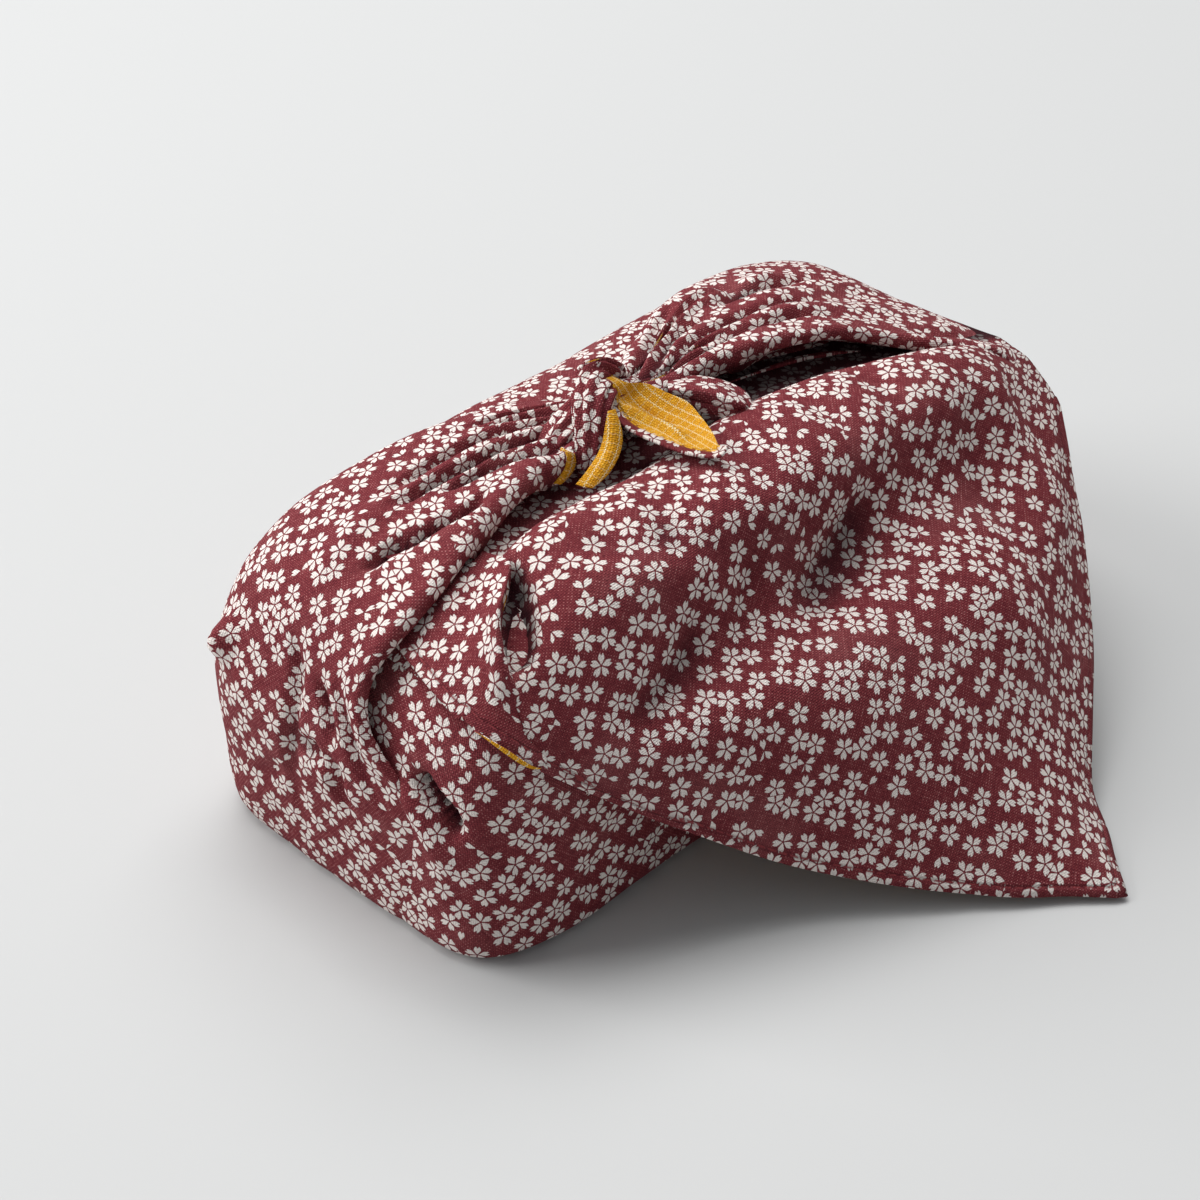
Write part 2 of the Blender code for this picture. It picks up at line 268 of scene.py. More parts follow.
def wrinkled(points: Array, wrinkles: tuple[Wrinkle, ...]) -> Array:
    """The height that the wrinkles give each point, in metres."""
    height = np.zeros(len(points))
    for wrinkle in wrinkles:
        start = Vector((wrinkle.start, WRINKLE_ASIDE * wrinkle.start, WRINKLE_ABOVE))
        for index, point in enumerate(points):
            place = Vector(point) / (wrinkle.size * MM) + start
            height[index] += wrinkle.height * MM * noise.noise(place)
    return height


# ------------------------------------------------------------- sheets of cloth


class Outside(Enum):
    """Which way a sheet's printed face looks."""

    AWAY = "away from the parcel"
    DOWN = "down"
    UP = "up"
    ROUND = "away from its own middle"


class Edge(Enum):
    """A side of a sheet's grid that is the cloth's sewn hem."""

    LEFT = "across at 0"
    RIGHT = "across at 1"
    END = "down at 1"


PRINTED_FACE = "burgundy blossom cotton"
REVERSE_FACE = "mustard lattice cotton"
NO_HEM = 1.0
ON_EDGE = 1e-6
SMOOTH_SHARE = 0.5
FLAT_DIVISIONS = 40
FLAT_ROUNDS = 1200
FINE_ROUNDS = 120
EASE_STEP = 1.6
FLAT_TURN = np.radians(45.0)
CLOTH_UV = "cloth"
HEM_ATTRIBUTE = "hem"
RUN_ATTRIBUTE = "hem_run"
# Painted shade: this attribute holds each point's amount, which darkens the cloth's base colour.
# It grows from SHADE_FROM to SHADE_TO of crease depth, and more is added under the gathers.
SHADE_ATTRIBUTE = "hollow"
SHADE_FROM = 1.0 * MM
SHADE_TO = 4.0 * MM
INNER_LINE = np.array([0.5, 0.3, 0.0])
INNER_MIDDLE = np.array([0.0, 0.0, 30 * MM])


def mesh_points(mesh: bpy.types.Mesh) -> Array:
    """A mesh's points, one row each."""
    points = np.empty(len(mesh.vertices) * 3)
    mesh.vertices.foreach_get("co", points)
    return points.reshape(-1, 3)


def net_of(rows: tuple[tuple[Point, ...], ...]) -> Array:
    """A table of points in mm, row by row, as a net in metres that is read across first."""
    return np.swapaxes(np.array(rows), 0, 1) * MM


def eased(flat: Array, points: Array, rounds: int) -> Array:
    """A flat grid moved until its links are as long as those of the folded cloth.

    Args:
        flat: the grid in the plane.
        points: the same grid on the folded cloth.
        rounds: how often every link is set right.

    Returns:
        The moved flat grid.
    """
    whole, head, tail = slice(None), slice(None, -1), slice(1, None)
    links = [
        ((head, whole), (tail, whole)),
        ((whole, head), (whole, tail)),
        ((head, head), (tail, tail)),
        ((tail, head), (head, tail)),
    ]
    rests = [np.linalg.norm(points[b] - points[a], axis=-1) for a, b in links]
    for _ in range(rounds):
        move = np.zeros_like(flat)
        count = np.zeros(flat.shape[:2])
        for (a, b), rest in zip(links, rests):
            gap = flat[b] - flat[a]
            length = np.maximum(np.linalg.norm(gap, axis=-1), TINY)
            fix = gap * (0.5 * (1 - rest / length))[..., None]
            move[a] += fix
            move[b] -= fix
            count[a] += 1
            count[b] += 1
        flat = flat + EASE_STEP * move / count[..., None]
    return flat


def laid_flat(points: Array) -> Array:
    """The grid of points laid out flat with its distances kept, as the cloth was cut.

    Args:
        points: a grid of points on the folded cloth.

    Returns:
        The same grid in the plane, in metres.
    """
    shares = np.linspace(0, 1, FLAT_DIVISIONS + 1)
    across, down = (side.ravel() for side in np.meshgrid(shares, shares, indexing="ij"))
    coarse = on_net(points, across, down).reshape(len(shares), len(shares), 3)
    middle = len(shares) // 2
    run = np.linalg.norm(np.diff(coarse, axis=0), axis=2)
    run = np.concatenate([np.zeros((1, len(shares))), np.cumsum(run, axis=0)])
    fall = np.linalg.norm(np.diff(coarse[middle], axis=0), axis=1)
    fall = np.concatenate([[0.0], np.cumsum(fall)])
    flat = np.stack([run - run[middle], np.tile(fall, (len(shares), 1))], axis=-1)
    flat = eased(flat, coarse, FLAT_ROUNDS)
    columns, rows = (np.linspace(0, 1, size) for size in points.shape[:2])
    across, down = (side.ravel() for side in np.meshgrid(columns, rows, indexing="ij"))
    flat = on_net(flat, across, down).reshape(*points.shape[:2], 2)
    flat = eased(flat, points, FINE_ROUNDS)
    turn = np.array([
        [np.cos(FLAT_TURN), -np.sin(FLAT_TURN)], [np.sin(FLAT_TURN), np.cos(FLAT_TURN)],
    ])
    return flat @ turn.T


@dataclass
class Sheet:
    """One stretch of the cloth: a grid bent into place, creased and given its thickness."""

    name: str
    divisions: tuple[int, int]
    place: Place
    outside: Outside = Outside.AWAY
    creases: tuple[Crease, ...] = ()
    wrinkles: tuple[Wrinkle, ...] = ()
    hems: tuple[Edge, ...] = ()
    uv_start: tuple[float, float] = (0.0, 0.0)
    thickness: float = 0.7 * MM
    hem_width: float = 3.0 * MM
    hem_rise: float = 0.35 * MM
    hem_soft: float = 0.5 * MM
    smooth_rounds: int = 1
    floor: float = 0.0
    seat: float | None = None
    tuck_room: float = 0.8 * MM
    # Where painted shade darkens this sheet, from 0 to 1, besides its crease troughs.
    painted_shade: Place | None = None

    def build(self) -> bpy.types.Object:
        """Makes the sheet.

        Returns:
            An object with the bent grid, its flat pattern and its hem attributes.
        """
        bm = bmesh.new()
        bmesh.ops.create_grid(
            bm, x_segments=self.divisions[0], y_segments=self.divisions[1], size=0.5)
        flat = np.array([vertex.co for vertex in bm.verts]) + 0.5
        across, down = flat[:, 0], flat[:, 1]
        self._move(bm, self.place(across, down))
        self._turn_outside(bm)
        shade = self._shape(bm, across, down)
        mesh = bpy.data.meshes.new(self.name)
        for face in bm.faces:
            face.smooth = True
        bm.to_mesh(mesh)
        bm.free()
        self._write_flat(mesh, across, down)
        self._write_hem(mesh, across, down)
        # The painted shade reaches the base colour through this attribute.
        layer = mesh.attributes.new(SHADE_ATTRIBUTE, "FLOAT", "POINT")
        layer.data.foreach_set("value", shade.astype(np.float32))
        item = bpy.data.objects.new(self.name, mesh)
        bpy.context.scene.collection.objects.link(item)
        return self._thickened(item)

    def _move(self, bm: bmesh.types.BMesh, points: Array) -> None:
        """Puts each vertex at its point."""
        for vertex, point in zip(bm.verts, points):
            vertex.co = point

    def _turn_outside(self, bm: bmesh.types.BMesh) -> None:
        """Turns the faces so that the printed side looks the way it should."""
        bm.normal_update()
        normals = np.array([face.normal for face in bm.faces])
        centres = np.array([face.calc_center_median() for face in bm.faces])
        if self.outside is Outside.AWAY:
            inner = centres * INNER_LINE + INNER_MIDDLE
            facing = np.einsum("nc,nc->n", normals, centres - inner)
        elif self.outside is Outside.ROUND:
            areas = np.array([face.calc_area() for face in bm.faces])
            facing = np.einsum("nc,nc->n", normals, centres - centres.mean(axis=0)) * areas
        else:
            facing = normals[:, 2] * (1 if self.outside is Outside.UP else -1)
        if facing.sum() < 0:
            bmesh.ops.reverse_faces(bm, faces=bm.faces[:])
            bm.normal_update()

    def _shape(self, bm: bmesh.types.BMesh, across: Array, down: Array) -> Array:
        """Presses in the creases, adds the wrinkles and the hem's ridge.

        Args:
            bm: the bent grid, which is changed.
            across: each vertex's share across the grid.
            down: each vertex's share down the grid.

        Returns:
            How deep in a fold each vertex lies, from 0 to 1.
        """
        points = np.array([vertex.co for vertex in bm.verts])
        normals = np.array([vertex.normal for vertex in bm.verts])
        pressed = creased(points, normals, self.creases)
        outward = normals
        if self.seat is not None:
            skin = PARCEL.onto(points)
            outward = PARCEL.normal(skin)
            room = np.einsum("nc,nc->n", points - skin, outward) - self.seat
            turned_under = np.einsum("nc,nc->n", normals, outward) < 0
            room = room + np.where(turned_under, self.tuck_room, 0)
            pressed = np.minimum(pressed, np.maximum(room, 0))
        height = wrinkled(points, self.wrinkles) - pressed
        if self.hems:
            distance, _ = self._hem_distance(points, across, down)
            inside = ramp(self.hem_width - distance, 0, self.hem_soft)
            height = height + self.hem_rise * inside
        points = points + outward * height[:, None]
        points[:, 2] = np.maximum(points[:, 2], self.floor)
        self._move(bm, points)
        inner = [vertex for vertex in bm.verts if not vertex.is_boundary]
        for _ in range(self.smooth_rounds):
            bmesh.ops.smooth_vert(
                bm, verts=inner, factor=SMOOTH_SHARE, use_axis_x=True, use_axis_y=True,
                use_axis_z=True)
        # Painted shade: the colour is darkened in the creases' troughs, where shade falls.
        shade = ramp(pressed, SHADE_FROM, SHADE_TO)
        return np.maximum(shade, self.painted_shade(across, down)) if self.painted_shade else shade

    def _hem_distance(self, points: Array, across: Array, down: Array) -> tuple[Array, Array]:
        """Each point's distance from the hem, and how far along the hem that is."""
        distance = np.full(len(points), NO_HEM)
        run = np.zeros(len(points))
        tests = {Edge.LEFT: across, Edge.RIGHT: 1 - across, Edge.END: 1 - down}
        orders = {Edge.LEFT: down, Edge.RIGHT: down, Edge.END: across}
        for edge in self.hems:
            rim = np.flatnonzero(tests[edge] < ON_EDGE)
            rim = rim[np.argsort(orders[edge][rim])]
            line = points[rim]
            reached = np.concatenate([
                [0.0], np.cumsum(np.linalg.norm(np.diff(line, axis=0), axis=1))])
            gap = np.linalg.norm(points[:, None, :] - line[None, :, :], axis=2)
            nearest = gap.argmin(axis=1)
            found = gap[np.arange(len(points)), nearest]
            closer = found < distance
            distance = np.where(closer, found, distance)
            run = np.where(closer, reached[nearest], run)
        return distance, run

    def _write_flat(self, mesh: bpy.types.Mesh, across: Array, down: Array) -> None:
        """Writes the flat pattern as the mesh's UV map, in metres of cloth."""
        columns = np.rint(across * self.divisions[0]).astype(int)
        rows = np.rint(down * self.divisions[1]).astype(int)
        grid = np.empty((self.divisions[0] + 1, self.divisions[1] + 1, 3))
        grid[columns, rows] = mesh_points(mesh)
        flat = laid_flat(grid)[columns, rows] + np.array(self.uv_start)
        corners = np.empty(len(mesh.loops), dtype=np.int32)
        mesh.loops.foreach_get("vertex_index", corners)
        layer = mesh.uv_layers.new(name=CLOTH_UV)
        layer.data.foreach_set("uv", flat[corners].astype(np.float32).ravel())

    def _write_hem(self, mesh: bpy.types.Mesh, across: Array, down: Array) -> None:
        """Writes how far each point is from the hem, and how far along it."""
        distance, run = self._hem_distance(mesh_points(mesh), across, down)
        for name, values in ((HEM_ATTRIBUTE, distance), (RUN_ATTRIBUTE, run)):
            layer = mesh.attributes.new(name, "FLOAT", "POINT")
            layer.data.foreach_set("value", values.astype(np.float32))

    def _thickened(self, item: bpy.types.Object) -> bpy.types.Object:
        """Gives the sheet its thickness, with the reverse of the cloth on its inner side."""
        for face in (PRINTED_FACE, REVERSE_FACE):
            item.data.materials.append(
                bpy.data.materials.get(face) or bpy.data.materials.new(face))
        solidify = item.modifiers.new("thickness", "SOLIDIFY")
        solidify.thickness = self.thickness
        solidify.offset = -1.0
        solidify.material_offset = 1
        solidify.material_offset_rim = 0
        solidify.use_even_offset = False
        graph = bpy.context.evaluated_depsgraph_get()
        solid = bpy.data.meshes.new_from_object(item.evaluated_get(graph))
        item.modifiers.clear()
        item.data = solid
        return item


# --------------------------------------------------------------- under the folds


@dataclass
class UnderCloth:
    """The cloth next to the box: base, walls, rounded corners and the tucked corner.

    The walls are two sheets, because the front left corner shows and has the folds.
    """

    corner_divisions: tuple[int, int] = (104, 52)
    wall_divisions: tuple[int, int] = (88, 14)
    seam_left: float = 0.0
    seam_front: float = -14.0
    flat_divisions: tuple[int, int] = (32, 16)
    wall_top: float = 71.5
    base_inset: float = 0.6
    wall_row_power: float = 1.5
    tucked_lift: float = 0.2
    corner_start: tuple[float, float] = (0.31, 0.12)
    wall_start: tuple[float, float] = (0.47, 0.12)
    base_start: tuple[float, float] = (0.05, 0.33)
    tucked_start: tuple[float, float] = (0.2, 0.7)
    creases: tuple[Crease, ...] = (
        Crease(((-96.4, -23, 45.5), (-96.6, -26.2, 42.9), (-96.6, -28.3, 41.1),
                (-96.4, -31.8, 38.7), (-96.2, -34.1, 33.7)), 3.3, 6.5, 0.3, 0.2),
        Crease(((-98, -19, 44), (-98, -24, 38), (-97.5, -29, 31), (-96, -34, 24)),
               5.0, -2.0, 0.0, 0.3),
        Crease(((-93, -39, 33), (-87, -43, 27), (-79, -46, 16)), 4.0, 1.0, 0.3, 0.3),
        Crease(((-97, -30, 22), (-94, -38, 14), (-86, -44, 8)), 5.0, 1.0, 0.2, 0.35),
        Crease(((-60, -47, 30), (-66, -47, 18), (-76, -47, 6)), 6.0, 0.8, 0.2, 0.4),
        Crease(((40, -47, 44), (62, -47, 28), (86, -45, 12)), 7.0, 1.0, 0.2, 0.4),
        Crease(((98, -20, 46), (98, -27, 34), (96, -34, 18)), 4.0, 1.6, 0.3, 0.3),
    )
    wrinkles: tuple[Wrinkle, ...] = (Wrinkle(26, 0.7, 3.1), Wrinkle(11, 0.25, 8.4))

    def walls(self) -> list[Sheet]:
        """The walls, from the rounded foot to the shoulder, all the way round."""
        wide, deep = PARCEL.half_length, PARCEL.half_width
        left, front = (-wide, self.seam_left * MM), (self.seam_front * MM, -deep)
        return [
            self._wall("corner_wall", (left, (-wide, -deep), front), self.corner_divisions,
                       self.corner_start, 1.0),
            self._wall("wall", (front, (wide, -deep), (wide, deep), (-wide, deep), left),
                       self.wall_divisions, self.wall_start, self.wall_row_power),
        ]

    def _wall(self, name: str, corners: tuple[tuple[float, float], ...],
              divisions: tuple[int, int], uv_start: tuple[float, float],
              row_power: float) -> Sheet:
        """A stretch of the walls, along straight lines between corners of the plan.

        Args:
            name: the sheet's name.
            corners: the plan's corners in order.
            divisions: the sheet's columns and rows.
            uv_start: where in the cloth it begins.
            row_power: above 1, the rows are closer together at the foot.

        Returns:
            The sheet.
        """
        plan_points = np.array(corners)
        steps = np.linalg.norm(np.diff(plan_points, axis=0), axis=1)
        reached = np.concatenate([[0.0], np.cumsum(steps)]) / steps.sum()

        def place(across: Array, down: Array) -> Array:
            """The wall's points, from its foot to its shoulder."""
            plan = np.column_stack([
                np.interp(across, reached, plan_points[:, 0]),
                np.interp(across, reached, plan_points[:, 1]),
            ])
            points = np.column_stack([plan, down**row_power * self.wall_top * MM])
            return PARCEL.raised(points, 0.0)

        return Sheet(name, divisions, place, creases=self.creases, wrinkles=self.wrinkles,
                     uv_start=uv_start)

    def base(self) -> Sheet:
        """The flat base that the parcel stands on."""
        def place(across: Array, down: Array) -> Array:
            """The base's points, in the block's own plan."""
            flat = 2 * np.column_stack([across, down]) - 1
            longest = np.abs(flat).max(axis=1)
            round_length = (np.abs(flat) ** PARCEL.plan_power).sum(axis=1)
            round_length = round_length ** (1 / PARCEL.plan_power)
            flat = flat * (longest / np.maximum(round_length, TINY))[:, None]
            inset = PARCEL.foot_radius + self.base_inset * MM
            sizes = np.array([PARCEL.half_length - inset, PARCEL.half_width - inset])
            return np.column_stack([flat * sizes, np.zeros(len(flat))])

        return Sheet("base", self.flat_divisions, place, outside=Outside.DOWN,
                     uv_start=self.base_start, smooth_rounds=0)

    def tucked_corner(self) -> Sheet:
        """The front corner, folded up over the top of the box and hidden there."""
        def place(across: Array, down: Array) -> Array:
            """The corner's points, over the whole top of the block."""
            points = np.column_stack([
                (2 * across - 1) * PARCEL.half_length, (2 * down - 1) * PARCEL.half_width,
                np.full(len(across), PARCEL.height),
            ])
            return PARCEL.raised(points, self.tucked_lift * MM)

        return Sheet("tucked_corner", self.flat_divisions, place,
                     uv_start=self.tucked_start)

    def build(self) -> list[bpy.types.Object]:
        """Makes the sheets that lie next to the box."""
        return [part.build() for part in (*self.walls(), self.base(), self.tucked_corner())]


# ---------------------------------------------------- back, top and loose corner


class Fall(NamedTuple):
    """A line down the cloth: up the back, over the top and down the loose corner, in mm."""

    foot: Point
    low: Point
    high: Point
    back: Point
    top: Point
    root: Point
    dip: Point
    brink: Point
    crest: Point
    puff: Point
    shoulder: Point
    valley: Point
    ridge: Point
    skirt: Point
    hem: Point


@dataclass
class LooseCorner:
    """The cloth that comes up the back and over the top, and hangs in front to its point.

    The first rows lie on the parcel, and past them the cloth comes free over a short way.
    The point is sharp for about one fall to each side. Where the rows lie under the
    gathers they get painted shade, which fades in and out there and is weaker on the left.
    """

    divisions: tuple[int, int] = (84, 122)
    last_lying: int = 4
    comes_free: tuple[float, float] = (-0.02, 0.04)
    tip_fall: int = 4
    tip_reach: tuple[float, float] = (0.3, 1.0)
    tip_rows: tuple[float, float] = (0.8, 1.0)
    lift: float = 1.5
    least_height: float = 0.4
    uv_start: tuple[float, float] = (0.02, 0.01)
    # Painted shade under the gathers: the rows where it fades in and out, where it begins
    # across, its strength on the left and where it is full.
    painted_shade_in: tuple[float, float] = (4.4, 5.4)
    painted_shade_out: tuple[float, float] = (6.5, 7.5)
    painted_shade_from: tuple[float, float] = (0.1, 0.2)
    painted_shade_left: float = 0.45
    painted_shade_full: tuple[float, float] = (0.46, 0.58)
    falls: tuple[Fall, ...] = (
        Fall((-98, 28, 1), (-98, 28, 20), (-98, 28, 42), (-94, 28, 60), (-82, 24, 70),
             (-74, 6, 70.6), (-76, -8, 70.2), (-77, -14, 69.8), (-78, -22, 69),
             (-79, -29, 67.5), (-81, -35.4, 64.6), (-82, -40.8, 58.6), (-82.4, -42.6, 54.4),
             (-82, -43.6, 52), (-81.5, -44.4, 49.8)),
        Fall((-90, 45, 1), (-90, 46, 20), (-90, 46, 44), (-86, 43, 62), (-68, 30, 71),
             (-60, 6, 71), (-60, -9, 70.9), (-60.5, -12.4, 72.4), (-61, -15.8, 76),
             (-61, -24, 76.6), (-60, -38, 72.4), (-60, -47.2, 56), (-60, -54, 46),
             (-59, -57.5, 36.5), (-58, -59.5, 29)),
        Fall((-58, 46, 1), (-58, 47, 20), (-58, 47, 45), (-56, 44, 63), (-42, 30, 72),
             (-40, 6, 71), (-40, -7.6, 70.8), (-40.2, -10.2, 72.8), (-40.6, -13.4, 77),
             (-41, -24, 79.2), (-40, -39.5, 75), (-40, -48.2, 56), (-40, -62, 47.5),
             (-38, -69, 28), (-36, -76, 13)),
        Fall((-22, 46, 1), (-22, 47, 20), (-22, 47, 45), (-20, 44, 63), (-14, 30, 72),
             (-14, 6, 71), (-14, -6.5, 71), (-14, -11.2, 72.8), (-14, -15.7, 77),
             (-14, -26, 79.2), (-14, -39.8, 76), (-14, -48.2, 56.5), (-14, -68, 49.5),
             (-13, -85, 24), (-11, -98, 4)),
        Fall((12, 46, 1), (12, 47, 20), (12, 47, 45), (12, 44, 63), (12, 30, 72),
             (12, 6, 70.8), (12, -6, 70.8), (11.5, -12, 72.8), (11, -16.4, 77.2),
             (10.5, -27, 79), (10, -40, 75.6), (9, -48.4, 57), (9, -72.5, 49),
             (12, -95, 21), (14, -122, 1)),
        Fall((44, 46, 1), (44, 47, 20), (44, 47, 45), (42, 44, 63), (36, 30, 72),
             (32, 8, 70.6), (32, -8, 70.4), (31.5, -14.6, 72), (31, -19.2, 77),
             (30.5, -28, 78.6), (30, -40, 75.2), (29, -48.9, 58.5), (28, -73.5, 48.5),
             (31, -88, 25), (32, -100, 7.5)),
        Fall((72, 46, 1), (72, 47, 20), (72, 47, 45), (68, 44, 62), (58, 30, 71),
             (50, 2, 70.6), (50, -13, 70.6), (50, -21, 72.6), (50, -25.4, 77),
             (49.5, -32, 77.4), (49, -41.5, 73.6), (49, -50.2, 58), (50, -68, 48.2),
             (53, -75.5, 34.5), (56, -81.5, 23)),
        Fall((90, 45, 1), (91, 45, 20), (91, 45, 44), (87, 42, 61), (76, 24, 70),
             (66, -4, 71.2), (66, -19, 71.2), (66, -25.4, 72), (66, -30.4, 74.6),
             (66.5, -35.5, 73.6), (67, -42, 69.6), (68, -49.5, 58.5), (70, -57.5, 51),
             (72, -61, 44), (74, -64, 38)),
        Fall((98, 26, 1), (99, 26, 20), (99, 24, 42), (95, 20, 60), (88, 8, 66),
             (86, -18, 66), (87, -24, 66), (87.5, -27, 66), (88, -30, 65),
             (88.5, -32.5, 64.2), (89, -35, 63), (89, -39, 60), (89, -42, 57.5),
             (88.5, -44, 56), (88, -45.5, 55)),
    )
    creases: tuple[Crease, ...] = (
        Crease(((-64, -15.5, 75), (-67, -21.5, 74.6), (-71.5, -27, 73.6), (-76, -32, 71),
                (-78.5, -35.5, 67.5)), 5.5, 7.0, 0.0, 0.2),
        Crease(((-60, -20, 76), (-46, -31, 78), (-30, -40, 75), (-18, -49, 60)),
               9.0, 1.8, 0.2, 0.35),
        Crease(((24, -44, 68), (11, -49, 62), (-3, -50, 57), (-18, -51, 54)),
               9.0, 3.0, 0.2, 0.3),
        Crease(((-32, -46, 66), (-42, -49, 58), (-54, -49, 54), (-66, -48, 50)),
               8.0, 2.6, 0.2, 0.3),
        Crease(((-8, -42, 73), (-24, -48, 60), (-34, -53, 53)), 6.0, 1.6, 0.3, 0.35),
        Crease(((61, -33, 74), (52, -46, 67), (44, -60, 50), (40, -78, 32)),
               8.0, 1.6, 0.3, 0.3),
        Crease(((64, -36, 73), (64, -47, 66), (62, -58, 50), (62, -70, 40)),
               6.0, -1.4, 0.0, 0.3),
        Crease(((70, -38, 70), (74, -48, 60), (72, -56, 50)), 5.0, 1.4, 0.2, 0.3),
        Crease(((38, -20, 78), (36, -31, 78), (28, -45, 68)), 6.0, 1.6, 0.2, 0.35),
        Crease(((20, -19, 78), (18, -30, 79), (20, -42, 73)), 5.0, 1.3, 0.2, 0.35),
        Crease(((-2, -17, 78), (-8, -29, 79), (-10, -40, 75)), 5.0, 1.5, 0.2, 0.35),
        Crease(((-24, -15, 78), (-30, -27, 79), (-40, -38, 75)), 5.0, 1.6, 0.2, 0.35),
        Crease(((-34, -14, 78), (-42, -22, 79), (-52, -28, 77)), 3.5, 1.0, 0.3, 0.35),
        Crease(((-16, -17, 78), (-19, -24, 79), (-26, -31, 79)), 3.0, 0.9, 0.3, 0.35),
        Crease(((6, -18, 78), (3, -26, 79), (4, -35, 77)), 3.2, 0.9, 0.3, 0.35),
        Crease(((22, -50, 62), (26, -68, 49), (30, -86, 27)), 10.0, -1.4, 0.0, 0.35),
        Crease(((-4, -72, 45), (0, -90, 26), (8, -108, 11)), 9.0, -1.2, 0.0, 0.35),
    )
    wrinkles: tuple[Wrinkle, ...] = (Wrinkle(34, 1.5, 1.7), Wrinkle(13, 0.42, 5.2))

    def build(self) -> list[bpy.types.Object]:
        """Makes the one sheet from the foot of the back wall to the hem."""
        net = np.array([list(fall) for fall in self.falls]) * MM
        lying = net[:, :self.last_lying + 1]
        shape = lying.shape
        net[:, :self.last_lying + 1] = PARCEL.raised(
            lying.reshape(-1, 3), self.lift * MM).reshape(shape)
        even_across, even_down = evened(net, 0), evened(net, 1)
        limit = self.last_lying / (net.shape[1] - 1)

        def place(across: Array, down: Array) -> Array:
            """The cloth's points, seated on the parcel as far as it lies there."""
            share = even_down(down)
            column = even_across(across)
            points = on_net(net, column, share)
            last = net.shape[0] - 1
            left = np.floor(np.minimum(column * last, last - 1))
            part = (column * last - left)[:, None]
            straight = on_net(net, left / last, share) * (1 - part)
            straight = straight + on_net(net, (left + 1) / last, share) * part
            sharp = 1 - ramp(np.abs(column * last - self.tip_fall), *self.tip_reach)
            sharp = (sharp * ramp(share, *self.tip_rows))[:, None]
            points = points * (1 - sharp) + straight * sharp
            seated = PARCEL.raised(points, self.lift * MM)
            free = ramp(share - limit, *self.comes_free)[:, None]
            return seated * (1 - free) + points * free

        def painted_shade(across: Array, down: Array) -> Array:
            """How much painted shade the cloth gets where it lies under the gathers, from 0 to
            1.
            """
            row = even_down(down) * (net.shape[1] - 1)
            deep = ramp(row, *self.painted_shade_in) * (1 - ramp(row, *self.painted_shade_out))
            deep = deep * ramp(across, *self.painted_shade_from)
            right = ramp(across, *self.painted_shade_full)
            return deep * (self.painted_shade_left + (1 - self.painted_shade_left) * right)

        return [Sheet("loose_corner", self.divisions, place, creases=self.creases,
                      wrinkles=self.wrinkles, hems=(Edge.END,), uv_start=self.uv_start,
                      floor=self.least_height * MM, painted_shade=painted_shade).build()]


# --------------------------------------------------------------- gathered ends


class Station(NamedTuple):
    """Where a gathered end is at one place along it, in mm.

    near and far are its two edges. edge, crown and back are its height at the near
    edge, between, and at the far edge, and lift is the gap under its folded edges.
    """

    near: Point
    far: Point
    edge: float
    crown: float
    back: float
    lift: float


class Pleat(NamedTuple):
    """A trough between gathers: its place and half width across, its depth in mm, and
    where along the end it begins and is full."""

    across: float
    half_width: float
    depth: float
    begins: float
    full: float


